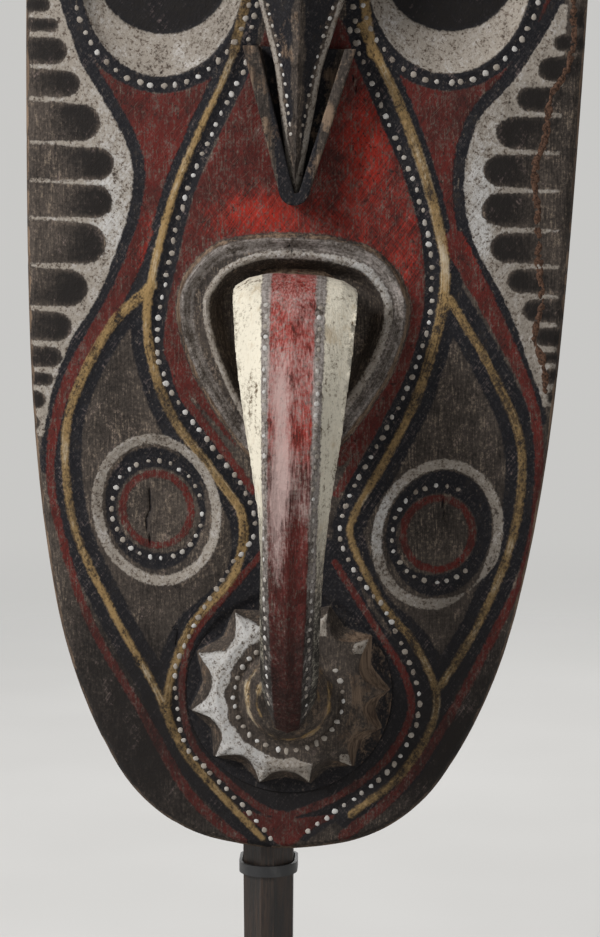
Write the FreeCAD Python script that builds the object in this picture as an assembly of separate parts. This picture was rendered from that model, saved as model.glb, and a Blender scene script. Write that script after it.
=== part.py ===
"""A tall carved and painted wooden face mask on its post, standing in a black steel display stand.

Row frame: millimetres, +Z up, the mask faces -Y. The origin is on the floor, under the middle of the base.
The carved pieces are modelled in the board's own frame, with Z = 0 at the board's foot and Y = 0 on its flat
back. put_on_post() then leans them and lifts them to their place on the stand.
"""
import FreeCAD
import Part
import math
import os

from FreeCAD import Rotation, Vector

# ---------------------------------------------------------------- stand
FELT_THICK = 2.0            # felt sheet under the base
BASE_WIDTH = 240.0
BASE_DEPTH = 200.0
BASE_THICK = 10.0
BASE_CORNER = 12.0
BASE_CHAMFER = 1.5
FELT_INSET = 3.0            # the felt stops short of the plate's edge
UPRIGHT_WIDTH = 20.0        # flat bar behind the post
UPRIGHT_THICK = 10.0
UPRIGHT_ABOVE_STRAP = 6.0
STRAP_HEIGHT = 6.0
STRAP_THICK = 1.6
STRAP_BELOW_BOARD = 13.0    # from the board's foot down to the strap's upper edge
SOCKET_HEIGHT = 14.0
SOCKET_THICK = 2.5
HOOP_CLEARANCE = 0.8        # between a hoop and the widest post section it passes
HOOP_BACK_CORNER = 7.0

# ---------------------------------------------------------------- post
POST_X = -13.8
POST_WIDTH = 27.5
POST_DEPTH = 34.0
POST_FOOT_WIDTH = 25.5
POST_FOOT_DEPTH = 32.5
POST_FRONT_FLAT = 7.0       # width of the flat adzed down the post's front
POST_SHOULDER = 10.5        # how far back the front facets run
POST_BACK_BEVEL = 7.0
POST_BELOW_BOARD = 147.0
POST_BEHIND_BOARD = 215.0
POST_TOP_SLOPE = 16.0       # the post's top end is cut at a slant
POST_PEG_RADIUS = 4.0
POST_PEG_HEIGHTS = (22.0, 66.0, 122.0, 176.0)   # above the board's foot
POST_PEG_BITE = 9.0         # depth in the board
POST_PEG_PROUD = 3.0

# ---------------------------------------------------------------- board
BOARD_HEIGHT = 955.0
BOARD_HALF_WIDTH = 149.0
BOARD_LEAN = 2.0            # degrees, to the viewer's right
BOARD_FOOT_X = -8.3
BOARD_MID_THICK = 28.0
BOARD_END_THICK = 17.0      # on the centre line, at the foot and the top
BOARD_CROWN_RADIUS = 803.0  # of the front, across the board
RIM_BEVEL = 4.0             # worn bevel round the front's edge
BACK_BEVEL = 2.0
OUTLINE_TOLERANCE = 0.5     # of the tangent arcs that stand for the outline's spline
# Half of the outline from foot to top, as shares of the board's height and half width.
OUTLINE = ((0.0, 0.0), (0.0051, 0.232), (0.0164, 0.416), (0.0503, 0.616), (0.1408, 0.836), (0.2539, 0.939),
           (0.40, 0.983), (0.53, 1.0), (0.67, 0.975), (0.79, 0.876), (0.885, 0.694), (0.95, 0.478),
           (0.99, 0.217), (1.0, 0.0))

# ---------------------------------------------------------------- teardrop collar round the nose's root
COLLAR_X = -0.9
COLLAR_Z = 293.5            # height of the widest part
COLLAR_HALF_WIDTH = 61.0
COLLAR_RISE = 42.0          # from the widest part up to the top
COLLAR_DROP = 91.0          # from the widest part down to the point
COLLAR_BAND = 9.0           # width of the raised outer band
COLLAR_STEP = 5.0           # width of the lower, inner band
# Half of the outline from top to point: share of the half width, share of the rise or of the drop.
TEARDROP = ((0.0, 1.0), (0.38, 0.96), (0.72, 0.80), (0.95, 0.40), (1.0, 0.0), (0.91, -0.25), (0.72, -0.50),
            (0.44, -0.76), (0.20, -0.93), (0.0, -1.0))
COLLAR_BAND_PROUD = 5.5     # above the board's crown line
COLLAR_STEP_PROUD = 1.0
RECESS_DEPTH = 8.5          # below the board's crown line

# ---------------------------------------------------------------- hooked nose
NOSE_X = 0.0                # of its root
NOSE_TIP_X = 4.5
# From root to tip: front ridge (y, z), underside (y, z), half width, and how far up
# from underside to ridge the section is widest, as a share.
NOSE_STATIONS = (
    (-19.0, 315.5, -19.0, 259.0, 29.0, 0.70),
    (-50.0, 313.5, -36.0, 259.0, 31.0, 0.84),
    (-72.0, 303.5, -48.0, 251.0, 32.0, 0.84),
    (-87.0, 279.0, -58.0, 238.5, 30.5, 0.70),
    (-95.5, 248.0, -65.0, 219.5, 27.0, 0.58),
    (-98.5, 213.5, -69.0, 199.5, 23.0, 0.50),
    (-96.5, 174.5, -69.5, 169.5, 19.8, 0.45),
    (-90.0, 137.0, -66.0, 141.0, 17.6, 0.42),
    (-79.0, 104.5, -59.0, 116.5, 16.0, 0.42),
    (-66.0, 84.0, -49.0, 102.5, 14.2, 0.42),
    (-52.0, 72.5, -38.0, 95.0, 12.0, 0.42),
)
NOSE_UNDERSIDE = 0.50       # half width of the underside, as a share of the section's
NOSE_SHOULDER = (0.52, 0.92)    # edge of the front band: share of the half width, share of the rise
TENON_WIDTH = 24.0
TENON_HEIGHT = 30.0
TENON_PROUD = 20.0          # behind the board's back
TENON_CLEARANCE = 0.15
WEDGE_LENGTH = 70.0
WEDGE_THIN = 7.0
WEDGE_THICK = 11.0
WEDGE_HEIGHT = 12.0
WEDGE_CLEARANCE = 0.1
SPIGOT_RADIUS = 5.0         # on the nose's tip, into the rosette's hub
SPIGOT_LENGTH = 12.0

# ---------------------------------------------------------------- toothed rosette
ROSETTE_X = 4.0
ROSETTE_Z = 88.7
ROSETTE_TEETH = 12
ROSETTE_TIP_RADIUS = 52.0
ROSETTE_VALLEY_RADIUS = 39.0
ROSETTE_FOOT_TIP_RADIUS = 55.0
ROSETTE_FOOT_VALLEY_RADIUS = 47.0
ROSETTE_TURN = 2.0          # degrees
ROSETTE_PROUD = 13.0        # its toothed face, above the board's crown line
HUB_RADIUS = 25.0
HUB_TOP_RADIUS = 17.0
HUB_HEIGHT = 10.0
SEAT_RADIUS = 60.0
SEAT_DEPTH = 3.0            # below the board's crown line at the seat
DOWEL_RADIUS = 4.0
DOWEL_BITE = 7.0            # length in each of the two pieces that a dowel joins
DOWEL_CLEARANCE = 0.1
HOLE_SPARE = 0.5            # a blind hole is this much deeper than its peg
PEG_SIDES = 8
PEG_BEVEL = 1.0
ROSETTE_DOWEL_OFFSET = 24.0

# ---------------------------------------------------------------- bird's bill and head
BILL_X = -2.0
BILL_TIP_Z = 355.5
# Height above the tip, half width, ridge height above the trough's floor.
BILL_STATIONS = ((0.0, 2.8, 9.0), (22.0, 5.6, 13.0), (42.0, 8.5, 16.0), (68.0, 12.4, 20.0),
                 (94.0, 19.8, 24.5), (112.0, 25.5, 27.0), (150.0, 28.0, 32.0))
BILL_SIDE_SHARE = 0.45      # height of the bill's side edge, as a share of its ridge
BILL_FLOOR_PROUD = 6.0      # floor of the trough, above the board's crown line
# The head above the bill: height above the bill's tip, half width, rise above its bed.
HEAD_START = 112.0
HEAD_STATIONS = ((HEAD_START, 27.0, 33.0), (145.0, 32.0, 39.0), (180.0, 32.0, 37.0), (220.0, 22.0, 25.0),
                 (262.0, 5.0, 8.0))
HEAD_SECTION = ((1.0, 0.0), (0.97, 0.45), (0.68, 0.85), (0.22, 1.0))
TROUGH_LENGTH = 78.0
TROUGH_HALF_WIDTH = 29.5
TROUGH_TIP_RADIUS = 8.0
TROUGH_BELOW_TIP = 4.0      # the lower bill reaches past the upper bill's tip
TROUGH_SINK = 3.0           # both bills are let into the board by this much
TROUGH_PROUD = 18.0         # its rim, above the board's crown line
TROUGH_LEFT_WALL = 8.0
TROUGH_RIGHT_WALL = 5.5
BILL_CLEARANCE = 0.3        # between the two bills where they pass each other
BILL_DOWEL_HEIGHTS = (30.0, 62.0)      # above the tip, for the lower bill
HEAD_DOWEL_HEIGHTS = (150.0, 210.0)    # above the tip, for the head

# ---------------------------------------------------------------- eyes and cheek rounds
# Across, height above the foot: centres on the board's front.
EYE_CENTRES = ((-75.6, 469.8), (75.1, 476.4))
EYE_HALF_WIDTH = 43.5
EYE_HALF_HEIGHT = 54.0
PUPIL_HALF_WIDTH = 36.0
PUPIL_HALF_HEIGHT = 33.0
EYE_DEPTH = 9.0
CHEEK_CENTRES = ((-70.6, 185.2), (80.8, 177.6))
CHEEK_TILTS = (-14.0, 14.0)  # degrees
CHEEK_HALF_WIDTH = 35.5
CHEEK_HALF_HEIGHT = 42.0
CHEEK_FLOOR_SHARE = 0.62
CHEEK_DEPTH = 3.0

# ---------------------------------------------------------------- places that follow from the sizes
BASE_TOP = FELT_THICK + BASE_THICK
BOARD_FOOT_Z = BASE_TOP + POST_BELOW_BOARD
STRAP_TOP_Z = BOARD_FOOT_Z - STRAP_BELOW_BOARD
HOOP_HALF_WIDTH = POST_WIDTH / 2 + HOOP_CLEARANCE
HOOP_BACK = POST_DEPTH + HOOP_CLEARANCE
FAR = 60.0                  # depth of cutting tools beyond what they cut


def extrude_y(wire, y_from, y_to):
    """The solid of a flat outline drawn at Y = 0, standing from y_from to y_to."""
    face = Part.Face(wire)
    face.translate(Vector(0, y_from, 0))
    return face.extrude(Vector(0, y_to - y_from, 0))


def put_on_post(shape):
    """Leans a piece of the mask and lifts it from the board's frame to its place on the stand."""
    placed = shape.copy()
    placed.rotate(Vector(0, 0, 0), Vector(0, 1, 0), BOARD_LEAN)
    placed.translate(Vector(BOARD_FOOT_X, 0, BOARD_FOOT_Z))
    return placed


def board_thickness(z):
    """Thickness on the board's centre line: it bows from both ends to the middle."""
    from_middle = 2 * z / BOARD_HEIGHT - 1
    return BOARD_END_THICK + (BOARD_MID_THICK - BOARD_END_THICK) * (1 - from_middle ** 2)


def crown_fall(x):
    """How far the front falls back from its centre line, x to the side of it."""
    return BOARD_CROWN_RADIUS - math.sqrt(BOARD_CROWN_RADIUS ** 2 - x ** 2)


def crown_y(x, z):
    """Y of the board's plain front at a place on the board."""
    return crown_fall(x) - board_thickness(z)


def ellipse_wire(half_x, half_z, y=0.0):
    """An upright ellipse about the Y axis, at a given Y."""
    if half_x >= half_z:
        curve = Part.Ellipse(Vector(0, 0, 0), half_x, half_z)
        turn = Rotation(Vector(1, 0, 0), 90)
    else:
        curve = Part.Ellipse(Vector(0, 0, 0), half_z, half_x)
        turn = Rotation(Vector(1, 0, 0), 90) * Rotation(Vector(0, 0, 1), 90)
    wire = Part.Wire(curve.toShape())
    wire.Placement = FreeCAD.Placement(Vector(0, y, 0), turn)
    return wire


# ---------------------------------------------------------------- board
def closed_curve(half_outline):
    """A smooth closed curve in the XZ plane from its right half, listed from top to bottom or back."""
    right = [Vector(x, 0, z) for x, z in half_outline]
    left = [Vector(-x, 0, z) for x, z in reversed(half_outline[1:-1])]
    curve = Part.BSplineCurve()
    curve.interpolate(right + left, PeriodicFlag=True)
    return curve


def inset_outline(half_outline, inset):
    """The same half outline moved inward, square to itself."""
    curve = closed_curve(half_outline)
    moved = []
    for x, z in half_outline:
        tangent = curve.tangent(curve.parameter(Vector(x, 0, z)))[0]
        moved.append((x + inset * tangent.z, z - inset * tangent.x))
    return moved


def board_outline():
    """The board's outline, from foot to top and back, as tangent arcs."""
    half = [(w * BOARD_HALF_WIDTH, h * BOARD_HEIGHT) for h, w in OUTLINE]
    arcs = closed_curve(half).toBiArcs(OUTLINE_TOLERANCE)
    return Part.Wire(Part.__sortEdges__([arc.toShape() for arc in arcs]))


def crown_section(z):
    """A section across the blank, with the crowned front and a flat back well behind the board."""
    reach = BOARD_HALF_WIDTH + RIM_BEVEL
    thick = board_thickness(z)
    side_y = crown_fall(reach) - thick
    left, right = Vector(-reach, side_y, z), Vector(reach, side_y, z)
    back_left, back_right = Vector(-reach, FAR, z), Vector(reach, FAR, z)
    front = Part.Arc(left, Vector(0, -thick, z), right).toShape()
    lines = [Part.makeLine(right, back_right), Part.makeLine(back_right, back_left),
             Part.makeLine(back_left, left)]
    return Part.Wire([front] + lines)


def crowned_blank():
    """A block whose front is the board's: crowned across and bowed along its length."""
    return Part.makeLoft([crown_section(share * BOARD_HEIGHT) for share in (-0.05, 0.5, 1.05)], True, False)


def plain_board():
    """The board before any relief: the crowned front cut to the outline, with its rims bevelled."""
    prism = extrude_y(board_outline(), 0, -BOARD_MID_THICK - RIM_BEVEL)
    board = prism.common(crowned_blank()).Solids[0]
    board = board.makeChamfer(BACK_BEVEL, [e for e in board.Edges if e.BoundBox.YMin > -1e-3])
    return board.makeChamfer(RIM_BEVEL, [e for e in board.Edges if e.BoundBox.YMax < -BACK_BEVEL - 1])


def teardrop(inset):
    """The collar's outline, a given distance inside its outer edge."""
    half = []
    for across, up in TEARDROP:
        half.append((across * COLLAR_HALF_WIDTH, up * (COLLAR_RISE if up > 0 else COLLAR_DROP)))
    arcs = closed_curve(inset_outline(half, inset)).toBiArcs(OUTLINE_TOLERANCE)
    wire = Part.Wire(Part.__sortEdges__([arc.toShape() for arc in arcs]))
    wire.translate(Vector(COLLAR_X, 0, COLLAR_Z))
    return wire


def add_collar(board):
    """Raises the teardrop collar in two steps and sinks the recess that the nose's root stands in."""
    level = crown_y(0, COLLAR_Z)
    inside = -BACK_BEVEL
    board = board.fuse(extrude_y(teardrop(0), inside, level - COLLAR_BAND_PROUD))
    board = board.cut(extrude_y(teardrop(COLLAR_BAND), level - COLLAR_STEP_PROUD, level - FAR))
    return board.cut(extrude_y(teardrop(COLLAR_BAND + COLLAR_STEP), level + RECESS_DEPTH, level - FAR))


def sunk_oval(centre, half_x, half_z, floor_x, floor_z, depth, tilt=0.0):
    """A tool that cuts an oval hollow with sloping walls, square to the crowned front at its centre."""
    x, z = centre
    slope = (half_x - floor_x) / depth
    proud = 6.0
    mouth = ellipse_wire(half_x + slope * proud, half_z + (half_z - floor_z) / depth * proud, -proud)
    tool = Part.makeLoft([ellipse_wire(floor_x, floor_z, depth), mouth], True, True)
    tool.rotate(Vector(0, 0, 0), Vector(0, 1, 0), tilt)
    tool.rotate(Vector(0, 0, 0), Vector(0, 0, 1), math.degrees(math.asin(x / BOARD_CROWN_RADIUS)))
    tool.translate(Vector(x, crown_y(x, z), z))
    return tool


def seat_level():
    """Y of the rosette seat's floor."""
    return crown_y(ROSETTE_X, ROSETTE_Z) + SEAT_DEPTH


def recess_level():
    """Y of the floor of the recess round the nose's root."""
    return crown_y(0, COLLAR_Z) + RECESS_DEPTH


def bar_y(radius, x, z, y_from, y_to):
    """A round bar along Y."""
    return Part.makeCylinder(radius, abs(y_to - y_from), Vector(x, min(y_from, y_to), z), Vector(0, 1, 0))


def peg_bar(radius, x, z, y_from, y_to):
    """A whittled bar along Y with eight sides; radius is to its corners."""
    points = []
    for i in range(PEG_SIDES):
        angle = 2 * math.pi * (i + 0.5) / PEG_SIDES
        points.append(Vector(x + radius * math.cos(angle), y_from, z + radius * math.sin(angle)))
    return Part.Face(Part.makePolygon(points + points[:1])).extrude(Vector(0, y_to - y_from, 0))


def tenon_z():
    """Height of the nose tenon's middle: the middle of the root."""
    return (NOSE_STATIONS[0][1] + NOSE_STATIONS[0][3]) / 2


def tenon_block(grow, y_from, y_to):
    """The nose's tenon, or with grow its mortise."""
    width, height = TENON_WIDTH + 2 * grow, TENON_HEIGHT + 2 * grow
    corner = Vector(NOSE_X - width / 2, y_from, tenon_z() - height / 2)
    return Part.makeBox(width, y_to - y_from, height, corner)


def dowel_places():
    """Every hidden dowel as (group, x, z, y of the face between the two pieces)."""
    offsets = (-ROSETTE_DOWEL_OFFSET, ROSETTE_DOWEL_OFFSET)
    places = [("rosette", ROSETTE_X + offset, ROSETTE_Z, seat_level()) for offset in offsets]
    places += [("lower_bill", BILL_X, BILL_TIP_Z + h, bill_bed_y()) for h in BILL_DOWEL_HEIGHTS]
    places += [("head", BILL_X, BILL_TIP_Z + h, head_back_y()) for h in HEAD_DOWEL_HEIGHTS]
    return places


def dowel_holes(group=None):
    """Holes for the dowels of one group, or of all."""
    reach = DOWEL_BITE + HOLE_SPARE
    holes = [peg_bar(DOWEL_RADIUS + DOWEL_CLEARANCE, x, z, y - reach, y + reach)
             for name, x, z, y in dowel_places() if group in (None, name)]
    return Part.makeCompound(holes)


def bill_bed_y():
    """Y of the flat bed that the lower bill is let into."""
    return crown_y(BILL_X, BILL_TIP_Z) + TROUGH_SINK


def head_back_y():
    """Y of the flat that the bird's head and bill are bedded on."""
    return crown_y(BILL_X, BILL_TIP_Z + HEAD_START) + TROUGH_SINK


def bill_outline(half_width, length, tip_radius, below, left=0.0, right=0.0):
    """A pointed outline with a rounded tip, its square end up; left and right are set in from its sides."""
    tip_z = BILL_TIP_Z - below
    top_z = BILL_TIP_Z + length
    run = Vector(half_width - tip_radius, 0, top_z - tip_z - tip_radius)
    normal = Vector(run.z, 0, -run.x).normalize()
    corner = Vector(tip_radius * normal.x, 0, tip_z + tip_radius + tip_radius * normal.z)
    right_low = Vector(BILL_X + corner.x - right, 0, corner.z)
    left_low = Vector(BILL_X - corner.x + left, 0, corner.z)
    right_top = Vector(BILL_X + half_width - right, 0, top_z)
    left_top = Vector(BILL_X - half_width + left, 0, top_z)
    lowest = Vector((right_low.x + left_low.x) / 2, 0, tip_z + (left + right) / 2)
    bottom = Part.Arc(left_low, lowest, right_low)
    edges = [bottom.toShape(), Part.makeLine(right_low, right_top), Part.makeLine(right_top, left_top),
             Part.makeLine(left_top, left_low)]
    return Part.Wire(edges)


def bill_beds(board):
    """Sinks the beds of the lower bill and of the bird's head."""
    outline = bill_outline(TROUGH_HALF_WIDTH, TROUGH_LENGTH, TROUGH_TIP_RADIUS, TROUGH_BELOW_TIP)
    board = board.cut(extrude_y(outline, bill_bed_y(), bill_bed_y() - FAR))
    return board.cut(head_form(head_back_y()))


def face_board():
    """The board with its relief, in its place; the holes for the post's pegs are bored last."""
    board = add_collar(plain_board())
    board = board.cut(bar_y(SEAT_RADIUS, ROSETTE_X, ROSETTE_Z, seat_level(), -FAR))
    for centre in EYE_CENTRES:
        floor = PUPIL_HALF_WIDTH, PUPIL_HALF_HEIGHT
        board = board.cut(sunk_oval(centre, EYE_HALF_WIDTH, EYE_HALF_HEIGHT, *floor, EYE_DEPTH))
    for centre, tilt in zip(CHEEK_CENTRES, CHEEK_TILTS):
        floor = CHEEK_HALF_WIDTH * CHEEK_FLOOR_SHARE, CHEEK_HALF_HEIGHT * CHEEK_FLOOR_SHARE
        board = board.cut(sunk_oval(centre, CHEEK_HALF_WIDTH, CHEEK_HALF_HEIGHT, *floor, CHEEK_DEPTH, tilt))
    board = bill_beds(board)
    board = board.cut(tenon_block(TENON_CLEARANCE, -FAR, FAR))
    board = put_on_post(board.cut(dowel_holes()))
    for x, z in post_peg_places():
        board = board.cut(peg_bar(POST_PEG_RADIUS + DOWEL_CLEARANCE, x, z, -POST_PEG_BITE - HOLE_SPARE, FAR))
    return board


# ---------------------------------------------------------------- nose
def nose_x(height):
    """X of the nose's middle at a height: it leans a little against the board's own lean."""
    root_z, tip_z = NOSE_STATIONS[0][1], NOSE_STATIONS[-1][1]
    share = (root_z - height) / (root_z - tip_z)
    return NOSE_X + (NOSE_TIP_X - NOSE_X) * min(max(share, 0.0), 1.0)


def nose_section(front_y, front_z, back_y, back_z, half_width, widest):
    """One closed section of the nose, in the plane through its ridge and underside points."""
    middle = nose_x(front_z)
    back, front = Vector(middle, back_y, back_z), Vector(middle, front_y, front_z)
    form = ((NOSE_UNDERSIDE, 0.0), (1.0, widest), NOSE_SHOULDER, (0.0, 1.0))
    half = [back + (front - back) * rise + Vector(across * half_width, 0, 0) for across, rise in form]
    other = [Vector(2 * middle - p.x, p.y, p.z) for p in reversed(half[:-1])]
    points = half + other
    return Part.makePolygon(points + points[:1])


def hook_nose():
    """The hooked nose: an arch from its root in the recess down to the rosette's hub."""
    nose = Part.makeLoft([nose_section(*station) for station in NOSE_STATIONS], True, False)
    hub_top = hub_top_y()
    low_end = NOSE_STATIONS[-1][3] + HUB_HEIGHT
    below = Part.makeBox(4 * TENON_WIDTH, FAR, low_end, Vector(-2 * TENON_WIDTH, hub_top, 0))
    nose = nose.cut(below)
    tenon = tenon_block(0, NOSE_STATIONS[0][0], TENON_PROUD)
    nose = nose.fuse(tenon).cut(wedge(0.0))
    spigot = peg_bar(SPIGOT_RADIUS, NOSE_TIP_X, spigot_z(), hub_top - 6.0, hub_top + SPIGOT_LENGTH)
    return put_on_post(nose.fuse(spigot))


def spigot_z():
    """Height of the spigot on the nose's tip."""
    return (NOSE_STATIONS[-1][1] + NOSE_STATIONS[-1][3]) / 2 + 4.0


def wedge(clearance):
    """The tapered key behind the board that locks the nose's tenon, grown by the clearance."""
    thin, thick = WEDGE_THIN - clearance, WEDGE_THICK - clearance
    half = WEDGE_LENGTH / 2
    points = [Vector(NOSE_X - half, 0, 0), Vector(NOSE_X + half, 0, 0), Vector(NOSE_X + half, thick, 0),
              Vector(NOSE_X - half, thin, 0)]
    face = Part.Face(Part.makePolygon(points + points[:1]))
    height = WEDGE_HEIGHT - 2 * clearance
    face.translate(Vector(0, 0, tenon_z() - height / 2))
    return face.extrude(Vector(0, 0, height))


def nose_wedge():
    """The key, driven through the tenon against the board's back."""
    return put_on_post(wedge(WEDGE_CLEARANCE))


# ---------------------------------------------------------------- rosette
def hub_top_y():
    """Y of the hub's flat end, where the nose's tip rests."""
    return crown_y(ROSETTE_X, ROSETTE_Z) - ROSETTE_PROUD - HUB_HEIGHT


def star(tip_radius, valley_radius, y):
    """The corners of a star about the rosette's middle, tips first."""
    points = []
    for i in range(2 * ROSETTE_TEETH):
        radius = tip_radius if i % 2 == 0 else valley_radius
        angle = math.radians(ROSETTE_TURN + 180.0 * i / ROSETTE_TEETH)
        points.append(Vector(ROSETTE_X + radius * math.cos(angle), y, ROSETTE_Z + radius * math.sin(angle)))
    return points


def toothed_disc(foot, front):
    """A solid between two stars whose tooth flanks are knife cuts: two flat facets each."""
    outlines = [foot, front]
    for i in range(len(foot)):
        j = (i + 1) % len(foot)
        tip, valley = (i, j) if i % 2 == 0 else (j, i)
        outlines.append([foot[tip], foot[valley], front[valley]])
        outlines.append([foot[tip], front[valley], front[tip]])
    faces = [Part.Face(Part.makePolygon(points + points[:1])) for points in outlines]
    disc = Part.makeSolid(Part.makeShell(faces))
    if disc.Volume < 0:
        disc.reverse()
    return disc


def mouth_rosette():
    """The toothed disc at the mouth, with its coned hub, the spigot's hole and the dowels' holes."""
    face_y = crown_y(ROSETTE_X, ROSETTE_Z) - ROSETTE_PROUD
    foot = star(ROSETTE_FOOT_TIP_RADIUS, ROSETTE_FOOT_VALLEY_RADIUS, seat_level())
    disc = toothed_disc(foot, star(ROSETTE_TIP_RADIUS, ROSETTE_VALLEY_RADIUS, face_y))
    hub = Part.makeCone(HUB_RADIUS, HUB_TOP_RADIUS, HUB_HEIGHT, Vector(ROSETTE_X, face_y, ROSETTE_Z),
                        Vector(0, -1, 0))
    socket_end = hub_top_y() + SPIGOT_LENGTH + HOLE_SPARE
    socket = peg_bar(SPIGOT_RADIUS + DOWEL_CLEARANCE, NOSE_TIP_X, spigot_z(), hub_top_y() - 1, socket_end)
    return put_on_post(disc.fuse(hub).cut(socket).cut(dowel_holes("rosette")))


# ---------------------------------------------------------------- bird's bill
def bill_floor():
    """Y of the trough's floor, on which the upper bill lies."""
    return crown_y(BILL_X, BILL_TIP_Z) - BILL_FLOOR_PROUD


def bill_section(height, half_width, ridge, back_y):
    """A roof-shaped section across the bill."""
    z = BILL_TIP_Z + height
    floor = bill_floor()
    side = floor - ridge * BILL_SIDE_SHARE
    points = [Vector(BILL_X - half_width, back_y, z), Vector(BILL_X - half_width, side, z),
              Vector(BILL_X, floor - ridge, z), Vector(BILL_X + half_width, side, z),
              Vector(BILL_X + half_width, back_y, z)]
    return Part.makePolygon(points + points[:1])


def head_section(height, half_width, rise, back_y):
    """A carved half-round section across the bird's head."""
    z = BILL_TIP_Z + height
    right = [(across * half_width, up * rise) for across, up in HEAD_SECTION]
    left = [(-x, up) for x, up in reversed(right)]
    points = [Vector(BILL_X + x, back_y - up, z) for x, up in right + left]
    return Part.makePolygon(points + points[:1])


def head_form(back_y):
    """The bird's head, bedded on back_y."""
    return Part.makeLoft([head_section(*station, back_y) for station in HEAD_STATIONS], True, False)


def bill_form(clearance=0.0):
    """The upper bill alone, grown by the clearance all round but for its floor."""
    low_end = (-clearance,) + BILL_STATIONS[0][1:]
    sections = [bill_section(height, half_width + clearance, ridge + clearance, bill_floor())
                for height, half_width, ridge in (low_end,) + BILL_STATIONS[1:]]
    return Part.makeLoft(sections, True, True)


def upper_bill():
    """The upper bill and the bird's head that it grows from."""
    floor = bill_floor()
    bill = bill_form()
    throat = Part.makeBox(2 * BILL_STATIONS[-2][1], head_back_y() - floor, BILL_STATIONS[-1][0] - HEAD_START,
                          Vector(BILL_X - BILL_STATIONS[-2][1], floor, BILL_TIP_Z + HEAD_START))
    piece = bill.fuse([throat, head_form(head_back_y())]).cut(dowel_holes("head"))
    return put_on_post(piece.removeSplitter())


def lower_bill():
    """The lower bill: a pointed trough behind the upper one, let into the board."""
    crown = crown_y(BILL_X, BILL_TIP_Z)
    outline = bill_outline(TROUGH_HALF_WIDTH, TROUGH_LENGTH, TROUGH_TIP_RADIUS, TROUGH_BELOW_TIP)
    block = extrude_y(outline, bill_bed_y(), crown - TROUGH_PROUD)
    hollow = bill_outline(TROUGH_HALF_WIDTH, TROUGH_LENGTH + 1, TROUGH_TIP_RADIUS, TROUGH_BELOW_TIP,
                          TROUGH_LEFT_WALL, TROUGH_RIGHT_WALL)
    block = block.cut([extrude_y(hollow, bill_floor(), crown - FAR), bill_form(BILL_CLEARANCE)])
    return put_on_post(block.cut(dowel_holes("lower_bill")))


def dowel(group, index):
    """One hidden dowel of a group."""
    name, x, z, y = [place for place in dowel_places() if place[0] == group][index]
    return put_on_post(peg_bar(DOWEL_RADIUS, x, z, y - DOWEL_BITE, y + DOWEL_BITE))


# ---------------------------------------------------------------- post
def post_section(width, depth, z):
    """A faceted section with a narrow flat in front and bevelled back corners."""
    flat = POST_FRONT_FLAT / 2
    half = width / 2
    right = [(flat, 0.0), (half, POST_SHOULDER), (half, depth - POST_BACK_BEVEL),
             (half - POST_BACK_BEVEL, depth)]
    points = [Vector(POST_X + x, y, z) for x, y in right]
    points += [Vector(POST_X - x, y, z) for x, y in reversed(right)]
    return Part.makePolygon(points + points[:1])


def post_peg_places():
    """Where the pegs go through the post, in the row frame."""
    return [(POST_X, BOARD_FOOT_Z + height) for height in POST_PEG_HEIGHTS]


def back_post():
    """The post: it stands on the base and runs up the board's back."""
    top_z = BOARD_FOOT_Z + POST_BEHIND_BOARD
    post = Part.makeLoft([post_section(POST_FOOT_WIDTH, POST_FOOT_DEPTH, BASE_TOP),
                          post_section(POST_WIDTH, POST_DEPTH, STRAP_TOP_Z),
                          post_section(POST_WIDTH, POST_DEPTH, top_z)], True, True)
    left = POST_X - POST_WIDTH / 2
    corners = [Vector(left, POST_DEPTH + 1, top_z - POST_TOP_SLOPE), Vector(left, POST_SHOULDER, top_z + 1),
               Vector(left, POST_DEPTH + 1, top_z + 1)]
    slope = Part.makePolygon(corners + corners[:1])
    cutter = Part.Face(slope).extrude(Vector(POST_WIDTH, 0, 0))
    post = post.cut(cutter)
    for x, z in post_peg_places():
        post = post.cut(peg_bar(POST_PEG_RADIUS + DOWEL_CLEARANCE, x, z, -1, POST_DEPTH + 1))
    return post


def post_peg(index):
    """A wooden peg driven from behind, through the post and into the board."""
    x, z = post_peg_places()[index]
    peg = peg_bar(POST_PEG_RADIUS, x, z, -POST_PEG_BITE, POST_DEPTH + POST_PEG_PROUD)
    return peg.makeChamfer(PEG_BEVEL, [e for e in peg.Edges if e.BoundBox.YMin > POST_DEPTH])


# ---------------------------------------------------------------- stand
def hoop_outline(grow, z):
    """A hoop round the post: round in front, flat behind where it meets the upright."""
    half = HOOP_HALF_WIDTH + grow
    corner = HOOP_BACK_CORNER + grow
    centre_y = HOOP_HALF_WIDTH - HOOP_CLEARANCE
    back = HOOP_BACK + grow
    bend = corner * (1 - math.sqrt(0.5))
    x = POST_X
    left_front, right_front = Vector(x - half, centre_y, z), Vector(x + half, centre_y, z)
    right_side, right_back = Vector(x + half, back - corner, z), Vector(x + half - corner, back, z)
    left_side, left_back = Vector(x - half, back - corner, z), Vector(x - half + corner, back, z)
    front = Part.Arc(left_front, Vector(x, centre_y - half, z), right_front)
    right = Part.Arc(right_side, Vector(x + half - bend, back - bend, z), right_back)
    left = Part.Arc(left_back, Vector(x - half + bend, back - bend, z), left_side)
    return Part.Wire([front.toShape(), Part.makeLine(right_front, right_side), right.toShape(),
                      Part.makeLine(right_back, left_back), left.toShape(),
                      Part.makeLine(left_side, left_front)])


def hoop(thick, z_low, height):
    """A steel hoop of a given wall and height."""
    outer = Part.Face(hoop_outline(thick, z_low)).extrude(Vector(0, 0, height))
    inner = Part.Face(hoop_outline(0.0, z_low - 1)).extrude(Vector(0, 0, height + 2))
    return outer.cut(inner)


def collar_strap():
    """The strap just under the board."""
    return hoop(STRAP_THICK, STRAP_TOP_Z - STRAP_HEIGHT, STRAP_HEIGHT)


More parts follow.
